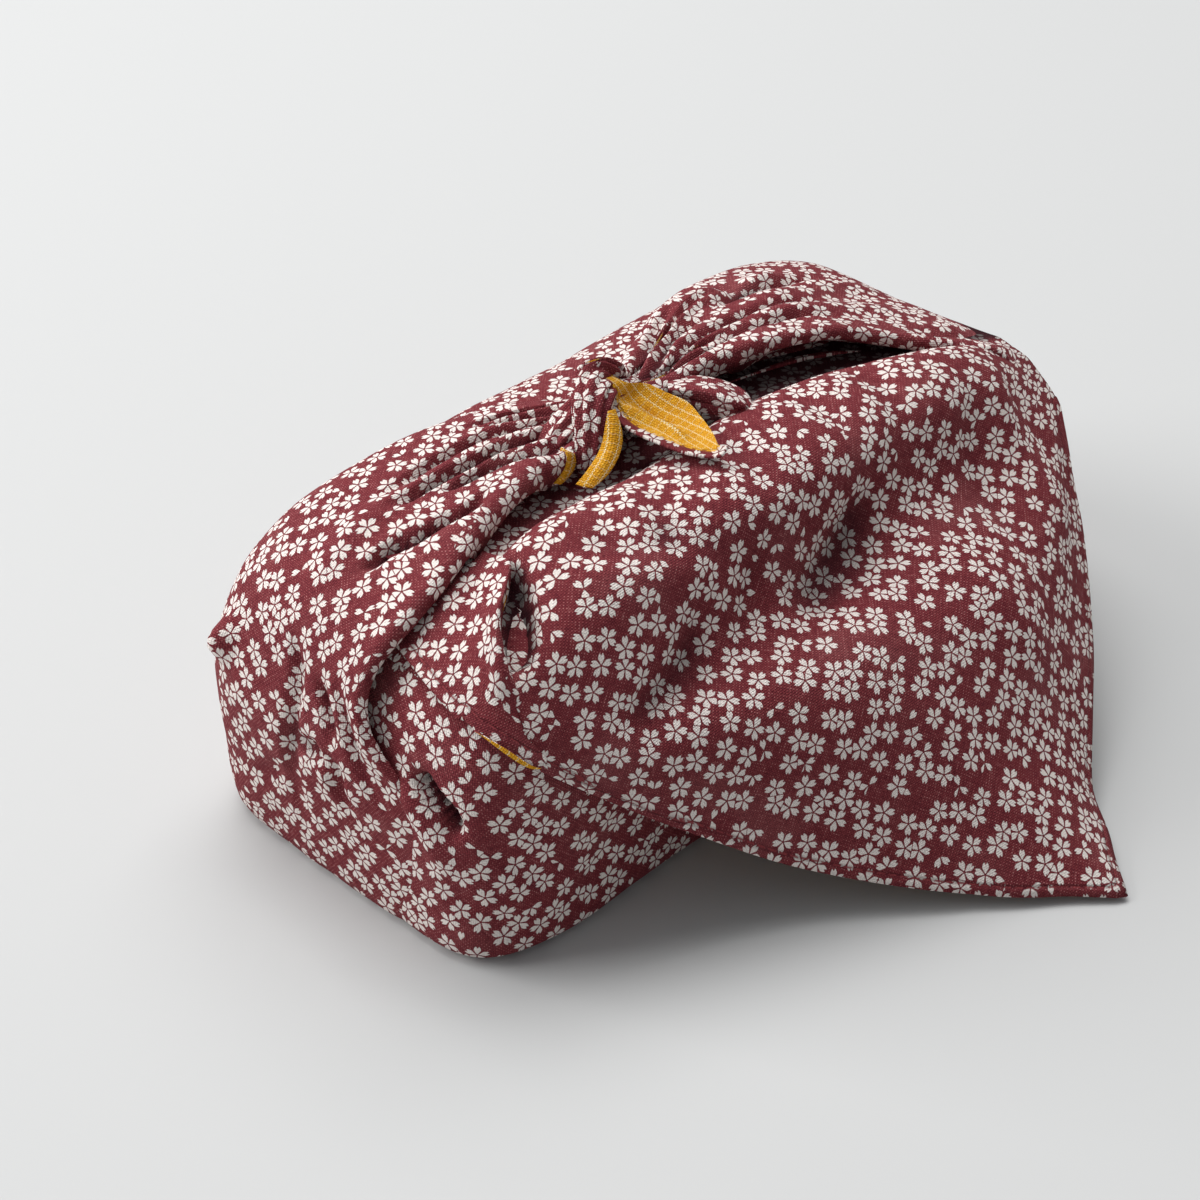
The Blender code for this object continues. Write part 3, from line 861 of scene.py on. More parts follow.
@dataclass
class GatheredEnd:
    """One end of the cloth, gathered up over the end of the parcel to the knot.

    turned is the share of the width that is folded under at each side, of which
    curl_share goes round the fold, and the rest lies back for tuck or less.
    """

    name: str
    stations: tuple[Station, ...]
    pleats: tuple[Pleat, ...]
    creases: tuple[Crease, ...]
    uv_start: tuple[float, float]
    divisions: tuple[int, int] = (100, 86)
    turned: float = 0.10
    curl_share: float = 0.6
    tuck: float = 24.0
    tuck_lift: float = 0.6
    far_lift: float = 0.6
    least_seat: float = 2.0
    least_curl: float = 0.85
    most_tuck: float = 0.45
    inward_step: float = 0.04
    sinks_by: float = 0.5
    crown_power: float = 2.5
    pleat_power: float = 1.4
    inner_divisions: tuple[int, int] = (30, 24)
    inner_inset: float = 0.10
    inner_folds: int = 5
    inner_low: float = 0.03
    inner_high: float = 0.10
    wrinkles: tuple[Wrinkle, ...] = (Wrinkle(24, 1.0, 9.3), Wrinkle(9, 0.3, 2.6))

    def build(self) -> list[bpy.types.Object]:
        """Makes the end, with its two long edges folded under."""
        near = np.array([s.near for s in self.stations]) * MM
        far = np.array([s.far for s in self.stations]) * MM
        even = evened(np.stack([near, far]), 1)
        sizes = {
            name: np.array([getattr(s, name) for s in self.stations]) * MM
            for name in ("edge", "crown", "back", "lift")
        }

        def section(up: Array) -> tuple[Array, Array, Array, dict[str, Array]]:
            """The share along the end, its two edges there and its sizes there."""
            share = even(up)
            size = {name: along(rows[:, None], share)[:, 0] for name, rows in sizes.items()}
            return share, along(near, share), along(far, share), size

        def place(across: Array, up: Array) -> Array:
            """The outer layer's points, its two long edges folded under."""
            share, first, last, size = section(up)
            inside = np.clip((across - self.turned) / (1 - 2 * self.turned), 0, 1)
            points = self._main(first, last, inside, share, size)
            far_lift = np.minimum(size["lift"], self.far_lift * MM)
            for start, end, height, lift, out in (
                (first, last, size["edge"], size["lift"], (self.turned - across) / self.turned),
                (last, first, size["back"], far_lift, (across - 1 + self.turned) / self.turned),
            ):
                turned = out > 0
                points[turned] = self._folded_edge(
                    start[turned], end[turned], height[turned], lift[turned], out[turned])
            return points

        def place_inner(across: Array, up: Array) -> Array:
            """The points of the folded layer that lies beneath."""
            _, first, last, size = section(up)
            inside = self.inner_inset + (1 - 2 * self.inner_inset) * across
            side = size["edge"] + (size["back"] - size["edge"]) * inside
            fold = np.abs(2 * ((across * self.inner_folds) % 1) - 1)
            flat = first + (last - first) * inside[:, None]
            return PARCEL.raised(flat, side * (self.inner_low + self.inner_high * fold))

        outer = Sheet(self.name, self.divisions, place, creases=self.creases,
                      wrinkles=self.wrinkles, uv_start=self.uv_start,
                      seat=self.least_seat * MM)
        inner = Sheet(self.name + "_inner", self.inner_divisions, place_inner,
                      uv_start=self.uv_start, smooth_rounds=0)
        return [outer.build(), inner.build()]

    def _main(self, first: Array, last: Array, inside: Array, share: Array,
              size: dict[str, Array]) -> Array:
        """The end's outer face, between its folded edges."""
        flat = first + (last - first) * inside[:, None]
        side = size["edge"] + (size["back"] - size["edge"]) * inside
        crown = size["crown"] - np.maximum(size["edge"], size["back"])
        height = side + np.maximum(crown, 0) * (1 - np.abs(2 * inside - 1) ** self.crown_power)
        for pleat in self.pleats:
            near = np.clip(1 - np.abs(inside - pleat.across) / pleat.half_width, 0, 1)
            grown = ramp(share, pleat.begins, pleat.full)
            height = height - pleat.depth * MM * near**self.pleat_power * grown
        return PARCEL.raised(flat, height)

    def _folded_edge(self, start: Array, end: Array, height: Array, lift: Array,
                     out: Array) -> Array:
        """The part of the cloth that turns over a long edge and lies back under it."""
        skin = PARCEL.onto(start)
        normal = PARCEL.normal(skin)
        width = np.linalg.norm(end - start, axis=1)
        inward = unit(PARCEL.onto(start + (end - start) * self.inward_step) - skin)
        radius = np.maximum((height - lift) / 2, self.least_curl * MM)[:, None]
        centre = skin + normal * (height[:, None] - radius)
        angle = np.pi * np.clip(out / self.curl_share, 0, 1)[:, None]
        curl = centre + radius * (normal * np.cos(angle) - inward * np.sin(angle))
        back = np.clip((out - self.curl_share) / (1 - self.curl_share), 0, 1)
        reach = np.minimum(self.tuck * MM / np.maximum(width, TINY), self.most_tuck) * back
        under_lift = height - 2 * radius[:, 0]
        sunk = np.minimum(self.tuck_lift * MM, under_lift) - under_lift
        under_lift = under_lift + sunk * ramp(back, 0, self.sinks_by)
        under = PARCEL.raised(start + (end - start) * reach[:, None], under_lift)
        return np.where((out > self.curl_share)[:, None], under, curl)


def left_end() -> GatheredEnd:
    """The left gathers, which show their whole end in front."""
    return GatheredEnd(
        "gathered_left",
        (
            Station((-94, -38, 0), (-89, 43, 0), -2.2, 2.6, 0.6, -6.0),
            Station((-97, -36, 12), (-91, 46, 12), -2.2, 3.6, 0.7, -6.0),
            Station((-98, -31, 26), (-92, 46, 28), -1.6, 4.4, 0.8, -5.0),
            Station((-98, -21, 41), (-92, 46, 44), 2.4, 4.9, 1.0, -0.2),
            Station((-97, -12, 51), (-89, 45, 56), 5.6, 5.6, 1.4, 2.4),
            Station((-93, -8.2, 60), (-82, 43, 64), 6.8, 6.8, 2.2, 3.0),
            Station((-82, -9.5, 68), (-70, 40, 69), 7.6, 7.8, 3.2, 3.0),
            Station((-70, -8.2, 72), (-58, 37, 72), 8.2, 8.6, 4.2, 3.2),
            Station((-52, -3.4, 73), (-42, 33, 73), 8.8, 9.8, 5.4, 3.6),
            Station((-37, -0.6, 73), (-27, 26, 73), 9.4, 10.8, 6.4, 4.0),
            Station((-25, 0.4, 73), (-16, 13, 73), 9.8, 11.6, 8.0, 4.6),
            Station((-17, 0.5, 73), (-12, 7, 73), 10.5, 12.0, 10.0, 6.0),
        ),
        (
            Pleat(0.32, 0.050, 2.2, 0.72, 0.92),
            Pleat(0.52, 0.050, 2.2, 0.72, 0.92),
            Pleat(0.80, 0.045, 2.0, 0.70, 0.90),
        ),
        (
            Crease(((-24, 2.5, 82), (-32, 1.8, 82), (-36, 4.2, 81), (-40, 7, 80),
                    (-46, 8.5, 79.5), (-52, 9.5, 79), (-57, 11, 78)), 2.6, 3.6, 0.4, 0.2),
            Crease(((-50, 0.6, 80), (-59, 0.4, 80), (-65, 2.1, 79.5), (-70, 3.6, 79),
                    (-75, 6.5, 77), (-84, 8, 74)), 2.6, 4.4, 0.5, 0.2),
            Crease(((-22.5, 5.4, 82), (-30, 7.5, 82), (-38, 11.5, 80.5), (-48, 13.5, 79.5),
                    (-58, 14.5, 78), (-68, 15.5, 76)), 2.6, 3.6, 0.4, 0.2),
            Crease(((-21.5, 7, 82), (-26, 11, 81.5), (-32, 15.4, 80), (-40, 18.4, 79),
                    (-52, 19.6, 77.5), (-66, 19.8, 75)), 2.4, 2.8, 0.3, 0.2),
            Crease(((-20, 9, 82), (-23.5, 13.5, 81), (-28.8, 18.6, 79.5), (-34, 22.6, 78.5)),
                   2.2, 2.8, 0.3, 0.2),
            Crease(((-30, -1, 81), (-44, -1.5, 79), (-60, -3.5, 77), (-76, -4, 74)),
                   7.0, -1.4, 0.0, 0.3),
            Crease(((-60, 15, 77), (-76, 16, 74), (-90, 12, 66)), 6.0, -1.2, 0.0, 0.35),
            Crease(((-94, 14, 60), (-97, 10.1, 52.2), (-99.2, 9.8, 40.4), (-99.8, 10.1, 29.5),
                    (-99.9, 9.2, 15.9), (-100, 6.7, 7.8)), 3.0, 2.8, 0.4, 0.2),
            Crease(((-100.5, 8.5, 37.6), (-100.5, 5.8, 38), (-100.4, 3.4, 38.6),
                    (-100.4, -1, 40)), 3.0, 6.0, 0.0, 0.3),
            Crease(((-95, 2.4, 55), (-97, 1.1, 51.1), (-98.2, -1.8, 46.8), (-99.1, -1.6, 41.7)),
                   2.6, 2.6, 0.4, 0.3),
            Crease(((-94, -1, 58.5), (-97.6, -7.1, 49.6), (-98.8, -9.4, 43.6),
                    (-99.4, -13.4, 37.7), (-99, -20, 31)), 2.6, 2.4, 0.4, 0.25),
            Crease(((-99.6, 3.2, 35.1), (-99.4, -3.4, 37.2), (-99.8, -4.7, 31.6),
                    (-99.9, -8.9, 26.1), (-99.9, -15, 24.5), (-99.9, -20.9, 21.9),
                    (-99.6, -26, 19)), 2.8, 2.8, 0.4, 0.2),
            Crease(((-99.8, -12, 29.5), (-99.9, -14.4, 26.8), (-99.8, -19.3, 21.7),
                    (-99.9, -22.5, 15.2), (-99, -26, 9)), 2.6, 1.4, 0.4, 0.3),
            Crease(((-98.6, -12.5, 43), (-99.4, -18.7, 37.6), (-99.6, -24.4, 33.1),
                    (-99.4, -30.1, 30)), 2.6, 1.4, 0.4, 0.3),
            Crease(((-100, 12, 30), (-100.5, 17, 24), (-100, 25, 18)), 3.2, 1.3, 0.2, 0.35),
            Crease(((-101, 5, 44), (-101, -3, 33), (-101, -12, 31)), 5.0, -1.2, 0.0, 0.4),
            Crease(((-98, 31, 56), (-99, 34, 49), (-99, 34, 43)), 5.5, -4.2, 0.0, 0.45),
        ),
        (0.11, 0.42),
    )


def right_end() -> GatheredEnd:
    """The right gathers, whose raised front fold leaves a hollow before the knot."""
    return GatheredEnd(
        "gathered_right",
        (
            Station((94, -38, 0), (89, 43, 0), -2.2, 1.6, 0.6, -6.0),
            Station((97, -37, 12), (91, 45, 12), -2.0, 2.2, 0.7, -6.0),
            Station((98, -37, 28), (92, 45, 28), -0.4, 3.0, 0.8, -3.0),
            Station((97, -38, 44), (92, 45, 44), 1.4, 3.2, 1.0, -0.6),
            Station((92, -38.5, 56), (88, 44, 57), 2.4, 3.6, 1.4, 0.4),
            Station((82, -36, 65), (80, 42, 65), 3.6, 4.6, 2.2, 1.6),
            Station((70, -28.5, 71), (70, 38, 70), 5.4, 6.0, 3.2, 2.4),
            Station((59, -20.5, 73), (60, 35, 72), 7.2, 7.6, 4.4, 3.2),
            Station((47, -11.6, 73), (48, 33, 73), 10.6, 10.8, 5.4, 7.0),
            Station((36, -7.0, 73), (37, 31, 73), 11.8, 12.0, 6.0, 8.0),
            Station((24, -3.6, 73), (27, 27, 73), 12.2, 12.6, 6.6, 8.4),
            Station((12, 0.9, 73), (14, 20, 73), 11.6, 12.6, 7.4, 7.2),
            Station((-2, 1.0, 73), (-2, 12, 73), 10.6, 12.0, 8.4, 5.4),
            Station((-10, 0.5, 73), (-10, 8, 73), 10.6, 12.0, 10.0, 6.0),
        ),
        (
            Pleat(0.26, 0.050, 2.0, 0.66, 0.88),
            Pleat(0.74, 0.055, 2.2, 0.60, 0.88),
        ),
        (
            Crease(((-3, 3.2, 83), (4, 2.8, 82), (12, 2.4, 82), (17.4, 2.2, 82), (26, 1.6, 81),
                    (34, 0.4, 81), (44, -2.4, 80), (54, -8, 78)), 2.4, 3.4, 0.4, 0.18),
            Crease(((-3, 4.6, 83), (2, 4.8, 82), (9, 5.6, 82), (18, 7.2, 81.5), (28, 7.4, 81),
                    (38, 6.6, 80), (50, 4, 79), (60, 0, 77)), 2.4, 3.4, 0.4, 0.18),
            Crease(((-3, 6.2, 83), (3, 7.2, 82), (8, 8.6, 82), (14, 11.4, 81), (22, 13.4, 80),
                    (32, 14.4, 79)), 2.4, 3.2, 0.4, 0.2),
            Crease(((-3, 8, 82), (4, 11, 81), (10, 14.6, 80), (19, 19.4, 79), (30, 23, 77)),
                   2.6, 3.0, 0.4, 0.2),
            Crease(((34, 17, 79), (46, 16, 78), (54, 15.4, 77), (62, 14, 76), (74, 12.4, 73)),
                   4.0, 5.4, 0.5, 0.3),
            Crease(((30, 4.5, 80), (46, 1, 79), (62, -4, 77), (76, -12, 73)),
                   6.0, -1.4, 0.0, 0.3),
            Crease(((38, 11, 79), (52, 10, 78), (70, 8, 76), (84, 4, 70)),
                   6.0, -1.6, 0.0, 0.3),
            Crease(((16, 20, 81), (25.7, 24.3, 80), (38.7, 23.8, 80), (46, 22.4, 79)),
                   7.0, -2.6, 0.0, 0.35),
            Crease(((50, 21, 79), (56, 20, 79), (64, 15, 79), (72, 8, 77)),
                   7.0, -2.4, 0.0, 0.4),
            Crease(((40, 31, 78), (48.5, 21.6, 79), (52, 12, 79)), 4.0, 2.2, 0.0, 0.4),
            Crease(((62, -20, 75), (70, -23, 74), (78, -25, 71), (86, -26, 66)),
                   4.0, 2.2, 0.4, 0.35),
            Crease(((72, -32, 71), (80, -33, 68), (90, -30, 61)), 4.0, -1.6, 0.0, 0.35),
            Crease(((90, -20, 64), (98, -18, 50), (100, -10, 34), (100, 0, 18)),
                   6.0, 1.4, 0.3, 0.3),
            Crease(((88, 10, 68), (98, 12, 54), (100, 16, 36)), 6.0, 1.2, 0.3, 0.3),
            Crease(((84, 26, 66), (94, 32, 52), (97, 38, 34)), 6.0, 1.2, 0.3, 0.3),
        ),
        (0.36, 0.30),
    )


# -------------------------------------------------------------- pleat by the hem


@dataclass
class Leaf:
    """A narrow or pointed piece of the cloth's edge, laid out row by row."""

    name: str
    net: tuple[tuple[Point, ...], ...]
    outside: Outside
    uv_start: tuple[float, float]
    hems: tuple[Edge, ...]
    creases: tuple[Crease, ...] = ()
    divisions: tuple[int, int] = (30, 44)
    wrinkle: Wrinkle = Wrinkle(7, 0.3, 2.2)
    hem_width: float = 2.2 * MM
    thickness: float = 0.6 * MM

    def build(self) -> list[bpy.types.Object]:
        """Makes the piece."""
        net = net_of(self.net)

        def place(across: Array, down: Array) -> Array:
            """The piece's points."""
            return on_net(net, across, down)

        return [Sheet(self.name, self.divisions, place, outside=self.outside,
                      creases=self.creases, wrinkles=(self.wrinkle,), hems=self.hems,
                      uv_start=self.uv_start, hem_width=self.hem_width,
                      thickness=self.thickness).build()]


@dataclass
class FoldedPleat:
    """The ear-like pleat folded over the loose corner's left side, by the left gathers."""

    divisions: tuple[int, int] = (36, 46)
    least: float = 1.6
    curl: float = 1.5
    curl_turns: float = 1.25
    rolled: float = 0.16
    settle_power: float = 1.5
    edge_step: float = 0.06
    wrinkle: Wrinkle = Wrinkle(14, 0.4, 4.4)
    smooth_rounds: int = 2
    uv_start: tuple[float, float] = (0.27, 0.05)
    net: tuple[tuple[Point, ...], ...] = (
        ((-60, -3, 72), (-69, -3, 71.8), (-79, -3, 70), (-87, -5, 65.4)),
        ((-61.5, -9, 73.2), (-70.5, -10, 72.6), (-80, -10.5, 70), (-88, -11, 64.6)),
        ((-63, -17, 76.4), (-72.5, -19, 74.6), (-82, -20, 69.8), (-89.4, -19, 63.2)),
        ((-68.5, -22.5, 76.2), (-76.5, -24.5, 74), (-84, -24.5, 68.8), (-90.1, -24, 62.2)),
        ((-75.4, -27.2, 74.4), (-81, -29, 71.2), (-86, -29, 66.2), (-90.4, -28.5, 61)),
        ((-80.2, -32.6, 71), (-84, -33.8, 67.6), (-87.4, -32.6, 63.6), (-90.2, -31, 60)),
        ((-81, -37.4, 65), (-84.8, -37, 63.6), (-87.6, -35, 62.2), (-90.2, -31.6, 61.2)),
        ((-76.5, -41, 56.2), (-83.4, -41.6, 58), (-87.2, -38.4, 59.6), (-90.1, -33.2, 60.6)),
        ((-74.5, -43.6, 49.4), (-83.2, -44.8, 52.4), (-87.2, -40.6, 56.6), (-89.9, -35.2, 59.8)),
    )
    hem_span: tuple[float, float] = (0.42, 0.99)
    hem_height: float = 0.9
    hem_shown: float = 1.9
    hem_before: float = 0.97
    hem_behind: float = 0.3
    hem_divisions: tuple[int, int] = (24, 4)
    hem_start: tuple[float, float] = (0.3, 0.2)
    hem_thickness: float = 0.5 * MM
    creases: tuple[Crease, ...] = (
        Crease(((-68, -12, 75), (-76, -17, 74), (-84, -24, 69)), 5.0, 0.9, 0.2, 0.35),
        Crease(((-72, -24, 76), (-79, -30, 73), (-84, -38, 65)), 3.5, -0.8, 0.0, 0.3),
    )

    def build(self) -> list[bpy.types.Object]:
        """Makes the pleat, with its folded edge rolled over the slit beside it."""
        net = net_of(self.net)

        def place(across: Array, down: Array) -> Array:
            """The pleat's points, from the rolled edge to where it meets the parcel."""
            inside = np.clip((across - self.rolled) / (1 - self.rolled), 0, 1)
            stood = on_net(net, inside, down)
            seat = PARCEL.raised(stood, self.least * MM)
            points = seat + (stood - seat) * (1 - inside**self.settle_power)[:, None]
            out = np.clip((self.rolled - across) / self.rolled, 0, 1)
            step = on_net(net, np.full_like(inside, self.edge_step), down) - on_net(
                net, np.zeros_like(inside), down)
            normal = PARCEL.normal(PARCEL.onto(stood))
            inward = unit(step - normal * np.einsum("nc,nc->n", step, normal)[:, None])
            angle = np.pi * self.curl_turns * out[:, None]
            curl = self.curl * MM
            rolled = normal * (np.cos(angle) - 1) * curl - inward * np.sin(angle) * curl
            return points + rolled

        return [Sheet("folded_pleat", self.divisions, place, creases=self.creases,
                      wrinkles=(self.wrinkle,), hems=(Edge.RIGHT, Edge.END),
                      uv_start=self.uv_start, smooth_rounds=self.smooth_rounds).build(),
                self._turned_hem(place).build()]

    def _turned_hem(self, place: Place) -> Sheet:
        """The sliver of the reverse that shows where the pleat's end turns back."""
        start, end = self.hem_span

        def place_hem(run: Array, over: Array) -> Array:
            """The sliver's points along the pleat's end, and over it."""
            across = start + (end - start) * run
            edge = place(across, np.ones_like(across))
            ahead = unit(edge - place(across, np.full_like(across, self.hem_before)))
            normal = PARCEL.normal(PARCEL.onto(edge))
            shown = self.hem_shown * MM * np.sin(np.pi * run) * (over - self.hem_behind)
            return edge + ahead * shown[:, None] + normal * self.hem_height * MM

        return Sheet("turned_hem", self.hem_divisions, place_hem, outside=Outside.DOWN,
                     uv_start=self.hem_start, thickness=self.hem_thickness,
                     smooth_rounds=0)


# ------------------------------------------------------------------ knot and ends


class Turn(NamedTuple):
    """A place along a rolled strand: its middle, half width and half height, in mm."""

    middle: Point
    wide: float
    high: float


@dataclass
class Strand:
    """A strand of gathered cloth, rolled closed and pleated along its length."""

    name: str
    turns: tuple[Turn, ...]
    upward: Point
    pleats: int
    pleat_depth: float
    uv_start: tuple[float, float]
    twist: float = 0.0
    divisions: tuple[int, int] = (44, 40)
    groove_power: float = 1.5
    step: float = 0.01
    wrinkle: Wrinkle = Wrinkle(6, 0.25, 6.1)
    thickness: float = 0.4 * MM

    def build(self) -> list[bpy.types.Object]:
        """Makes the strand round its middle line."""
        middle = np.array([turn.middle for turn in self.turns]) * MM
        sizes = np.array([(turn.wide, turn.high) for turn in self.turns]) * MM
        up = np.array(self.upward, float)

        def place(around: Array, down: Array) -> Array:
            """The strand's points, once round it from below."""
            centre = along(middle, down)
            ahead = along(middle, np.clip(down + self.step, 0, 1))
            behind = along(middle, np.clip(down - self.step, 0, 1))
            tangent = unit(ahead - behind)
            side = unit(np.cross(tangent, up))
            top = unit(np.cross(side, tangent))
            size = along(sizes, down)
            angle = 2 * np.pi * around - np.pi / 2
            phase = self.pleats * angle + self.twist * down
            fold = (1 - np.abs(np.cos(phase / 2))) ** self.groove_power
            groove = 1 - self.pleat_depth * fold
            return (centre + side * (size[:, :1] * (np.cos(angle) * groove)[:, None])
                    + top * (size[:, 1:] * (np.sin(angle) * groove)[:, None]))

        return [Sheet(self.name, self.divisions, place, outside=Outside.ROUND,
                      wrinkles=(self.wrinkle,), uv_start=self.uv_start,
                      thickness=self.thickness).build()]


@dataclass
class Knot:
    """The single tie on top of the parcel and its two short free ends."""

    bundle: Strand = field(default_factory=lambda: Strand(
        "knot_bundle",
        (Turn((-31, 6.2, 73), 2.4, 1.0), Turn((-28, 5.4, 76), 4.6, 3.4),
         Turn((-24, 4.2, 79), 5.0, 4.6), Turn((-18, 3.6, 81.4), 4.8, 5.0),
         Turn((-12, 3.8, 81.2), 4.8, 4.8), Turn((-7, 4.6, 78.4), 4.4, 3.6),
         Turn((-4, 5, 75), 2.4, 1.4)),
        (0, 0, 1), 9, 0.32, (0.15, 0.22), 1.2))
    strap: Strand = field(default_factory=lambda: Strand(
        "knot_strap",
        (Turn((-2, 13.5, 75), 3.4, 2.0), Turn((-5.4, 11.4, 80.6), 4.6, 2.6),
         Turn((-9.6, 8.4, 83.6), 5.2, 2.8), Turn((-14.8, 5.0, 86.4), 5.4, 3.0),
         Turn((-19.4, 1.7, 86.2), 4.8, 3.1), Turn((-22.3, -0.5, 83.4), 4.1, 2.9),
         Turn((-24.2, -2.2, 80), 3.8, 2.6), Turn((-25.6, -3.3, 76.8), 3.4, 2.2),
         Turn((-27, -3.6, 73.8), 2.5, 1.6)),
        (-0.70, -0.66, 0.25), 9, 0.34, (0.21, 0.47), 1.4, (54, 60)))
    under_turn: Leaf = field(default_factory=lambda: Leaf(
        "knot_under_turn",
        (
            ((-20.2, -3.7, 85), (-19.9, -3.9, 85.2), (-19.1, -3.8, 85)),
            ((-22.3, -4.8, 82.5), (-21.5, -6.1, 83), (-20, -6.6, 82.5)),
            ((-24.3, -5.9, 80), (-23.4, -7.7, 80.4), (-21.4, -8.3, 80)),
            ((-27, -6.8, 78), (-26, -8.7, 78.4), (-23.9, -9.5, 78)),
            ((-30.3, -7.1, 76), (-29.5, -9.2, 76.4), (-27.7, -10.3, 76)),
            ((-33.3, -6.9, 74.4), (-32.9, -8.8, 74.6), (-31.8, -10, 74.4)),
        ),
        Outside.DOWN, (0.4, 0.11), (), divisions=(12, 30)))
    inner_turn: Leaf = field(default_factory=lambda: Leaf(
        "knot_inner_turn",
        (
            ((-29.8, 0.3, 79), (-29.9, -1.5, 79.2), (-29.2, -2.9, 79)),
            ((-31.4, -0.1, 76.5), (-30.9, -1.9, 76.8), (-29.4, -2.7, 76.5)),
            ((-33.5, -0.9, 74.6), (-32.5, -2.3, 74.8), (-30.6, -2.8, 74.6)),
            ((-35.7, -1.9, 73.4), (-35, -2.7, 73.5), (-33.4, -2.6, 73.4)),
        ),
        Outside.DOWN, (0.42, 0.16), (), divisions=(12, 20)))
    near_end: Leaf = field(default_factory=lambda: Leaf(
        "near_end",
        (
            ((-17.4, 3.4, 86.6), (-15.6, 3.6, 87), (-13.8, 3.8, 87), (-12, 4, 86.6)),
            ((-16.4, 1.0, 85.6), (-14.6, 1.0, 86), (-12.8, 1.2, 86), (-11, 1.4, 85.8)),
            ((-17.3, -1.7, 82.5), (-13, -0.6, 82), (-9.4, -0.4, 82.5), (-5.9, -0.6, 84)),
            ((-18.4, -7.1, 81.8), (-13, -5.8, 80.6), (-7.9, -4.8, 80.8), (-4.1, -5.3, 83)),
            ((-18.3, -13.1, 81.8), (-12.6, -11.5, 80.3), (-7, -10, 80.4),
             (-3.1, -10.4, 82.3)),
            ((-17.6, -18.1, 81.8), (-12.6, -16.9, 80.4), (-7.9, -15.7, 80.4),
             (-4.8, -15.9, 81.8)),
            ((-16.4, -23.1, 81.8), (-12.7, -22, 80.8), (-10.1, -21.3, 80.8),
             (-7.5, -21.4, 81.8)),
            ((-14.6, -26.4, 81.6), (-13.2, -26.5, 81.4), (-11.9, -26.4, 81.6),
             (-10.5, -26, 82)),
            ((-14, -29.1, 82.6), (-13.1, -29.1, 82.9), (-11.8, -28.7, 83.1),
             (-10.7, -28.3, 83.4)),
        ),
        Outside.DOWN, (0.33, 0.4), (Edge.LEFT, Edge.END),
        (Crease(((-14, 0, 84), (-13, -6, 81), (-12, -13, 80), (-12, -19, 80.4)),
                1.7, 1.7, 0.3, 0.25),
         Crease(((-11, -1, 83), (-9.4, -7, 81), (-9.4, -14, 80.4)), 1.6, -1.0, 0.2, 0.3)),
    ))
    far_end: Leaf = field(default_factory=lambda: Leaf(
        "far_end",
        (
            ((-0.7, -2.6, 78), (-1.3, -3, 82), (5.8, 3.5, 79)),
            ((1.1, -7.3, 78), (0.7, -7.4, 83), (8.5, -0.5, 79.5)),
            ((2.9, -11.7, 77.6), (3, -11.4, 83), (11.2, -4.5, 79.5)),
            ((4.9, -15.7, 77.2), (5, -15.3, 82), (12.7, -9, 79)),
            ((7.5, -17.4, 77), (7.6, -17.4, 80), (12.7, -13, 78.5)),
            ((9.4, -17.7, 77), (10, -17.4, 77.6), (11.2, -16.3, 77.6)),
        ),
        Outside.UP, (0.09, 0.36), (Edge.LEFT, Edge.RIGHT, Edge.END),
    ))

    def build(self) -> list[bpy.types.Object]:
        """Makes the bundle, the turn over it and both free ends."""
        parts = (self.bundle, self.strap, self.under_turn, self.inner_turn, self.near_end,
                 self.far_end)
        return [item for part in parts for item in part.build()]


# -------------------------------------------------------------------- materials


MIX_FIRST, MIX_SECOND, MIX_RESULT = 6, 7, 2
OBJECT_PLACE = 3


@dataclass(frozen=True)
class Wire:
    """A value in a material, on which Python's operators add Math nodes."""

    board: Board
    socket: bpy.types.NodeSocket

    def math(self, operation: str, *others: Wire | float, first: float | None = None) -> Wire:
        """This value put through a Math node.

        Args:
            operation: the node's operation.
            others: the values of its further sockets.
            first: a number to stand before this value, for the reflected operators.

        Returns:
            The node's result.
        """
        values = [self, *others] if first is None else [first, self, *others]
        sockets = dict(enumerate(values))
        return self.board.add("ShaderNodeMath", {"operation": operation}, sockets)[0]

    def __add__(self, other: Wire | float) -> Wire:
        """The sum."""
        return self.math("ADD", other)

    def __radd__(self, other: float) -> Wire:
        """The sum with a number before it."""
        return self.math("ADD", first=other)

    def __sub__(self, other: Wire | float) -> Wire:
        """The difference."""
        return self.math("SUBTRACT", other)

    def __rsub__(self, other: float) -> Wire:
        """The difference from a number."""
        return self.math("SUBTRACT", first=other)

    def __mul__(self, other: Wire | float) -> Wire:
        """The product."""
        return self.math("MULTIPLY", other)

    def __rmul__(self, other: float) -> Wire:
        """The product with a number before it."""
        return self.math("MULTIPLY", first=other)

    def __truediv__(self, other: Wire | float) -> Wire:
        """The quotient."""
        return self.math("DIVIDE", other)

    def __rtruediv__(self, other: float) -> Wire:
        """A number divided by this value."""
        return self.math("DIVIDE", first=other)

    def least(self, other: Wire | float) -> Wire:
        """The smaller of the two."""
        return self.math("MINIMUM", other)

    def most(self, other: Wire | float) -> Wire:
        """The larger of the two."""
        return self.math("MAXIMUM", other)

    def over(self, limit: Wire | float) -> Wire:
        """1 where this value is above the limit, and 0 elsewhere."""
        return self.math("GREATER_THAN", limit)

    def ramp(self, start: float, end: float) -> Wire:
        """0 up to start, 1 from end on, and smooth between."""
        node = self.board.add("ShaderNodeMapRange", {"interpolation_type": "SMOOTHSTEP"}, {
            "Value": self, "From Min": start, "From Max": end, "To Min": 0.0, "To Max": 1.0,
        })
        return node[0]


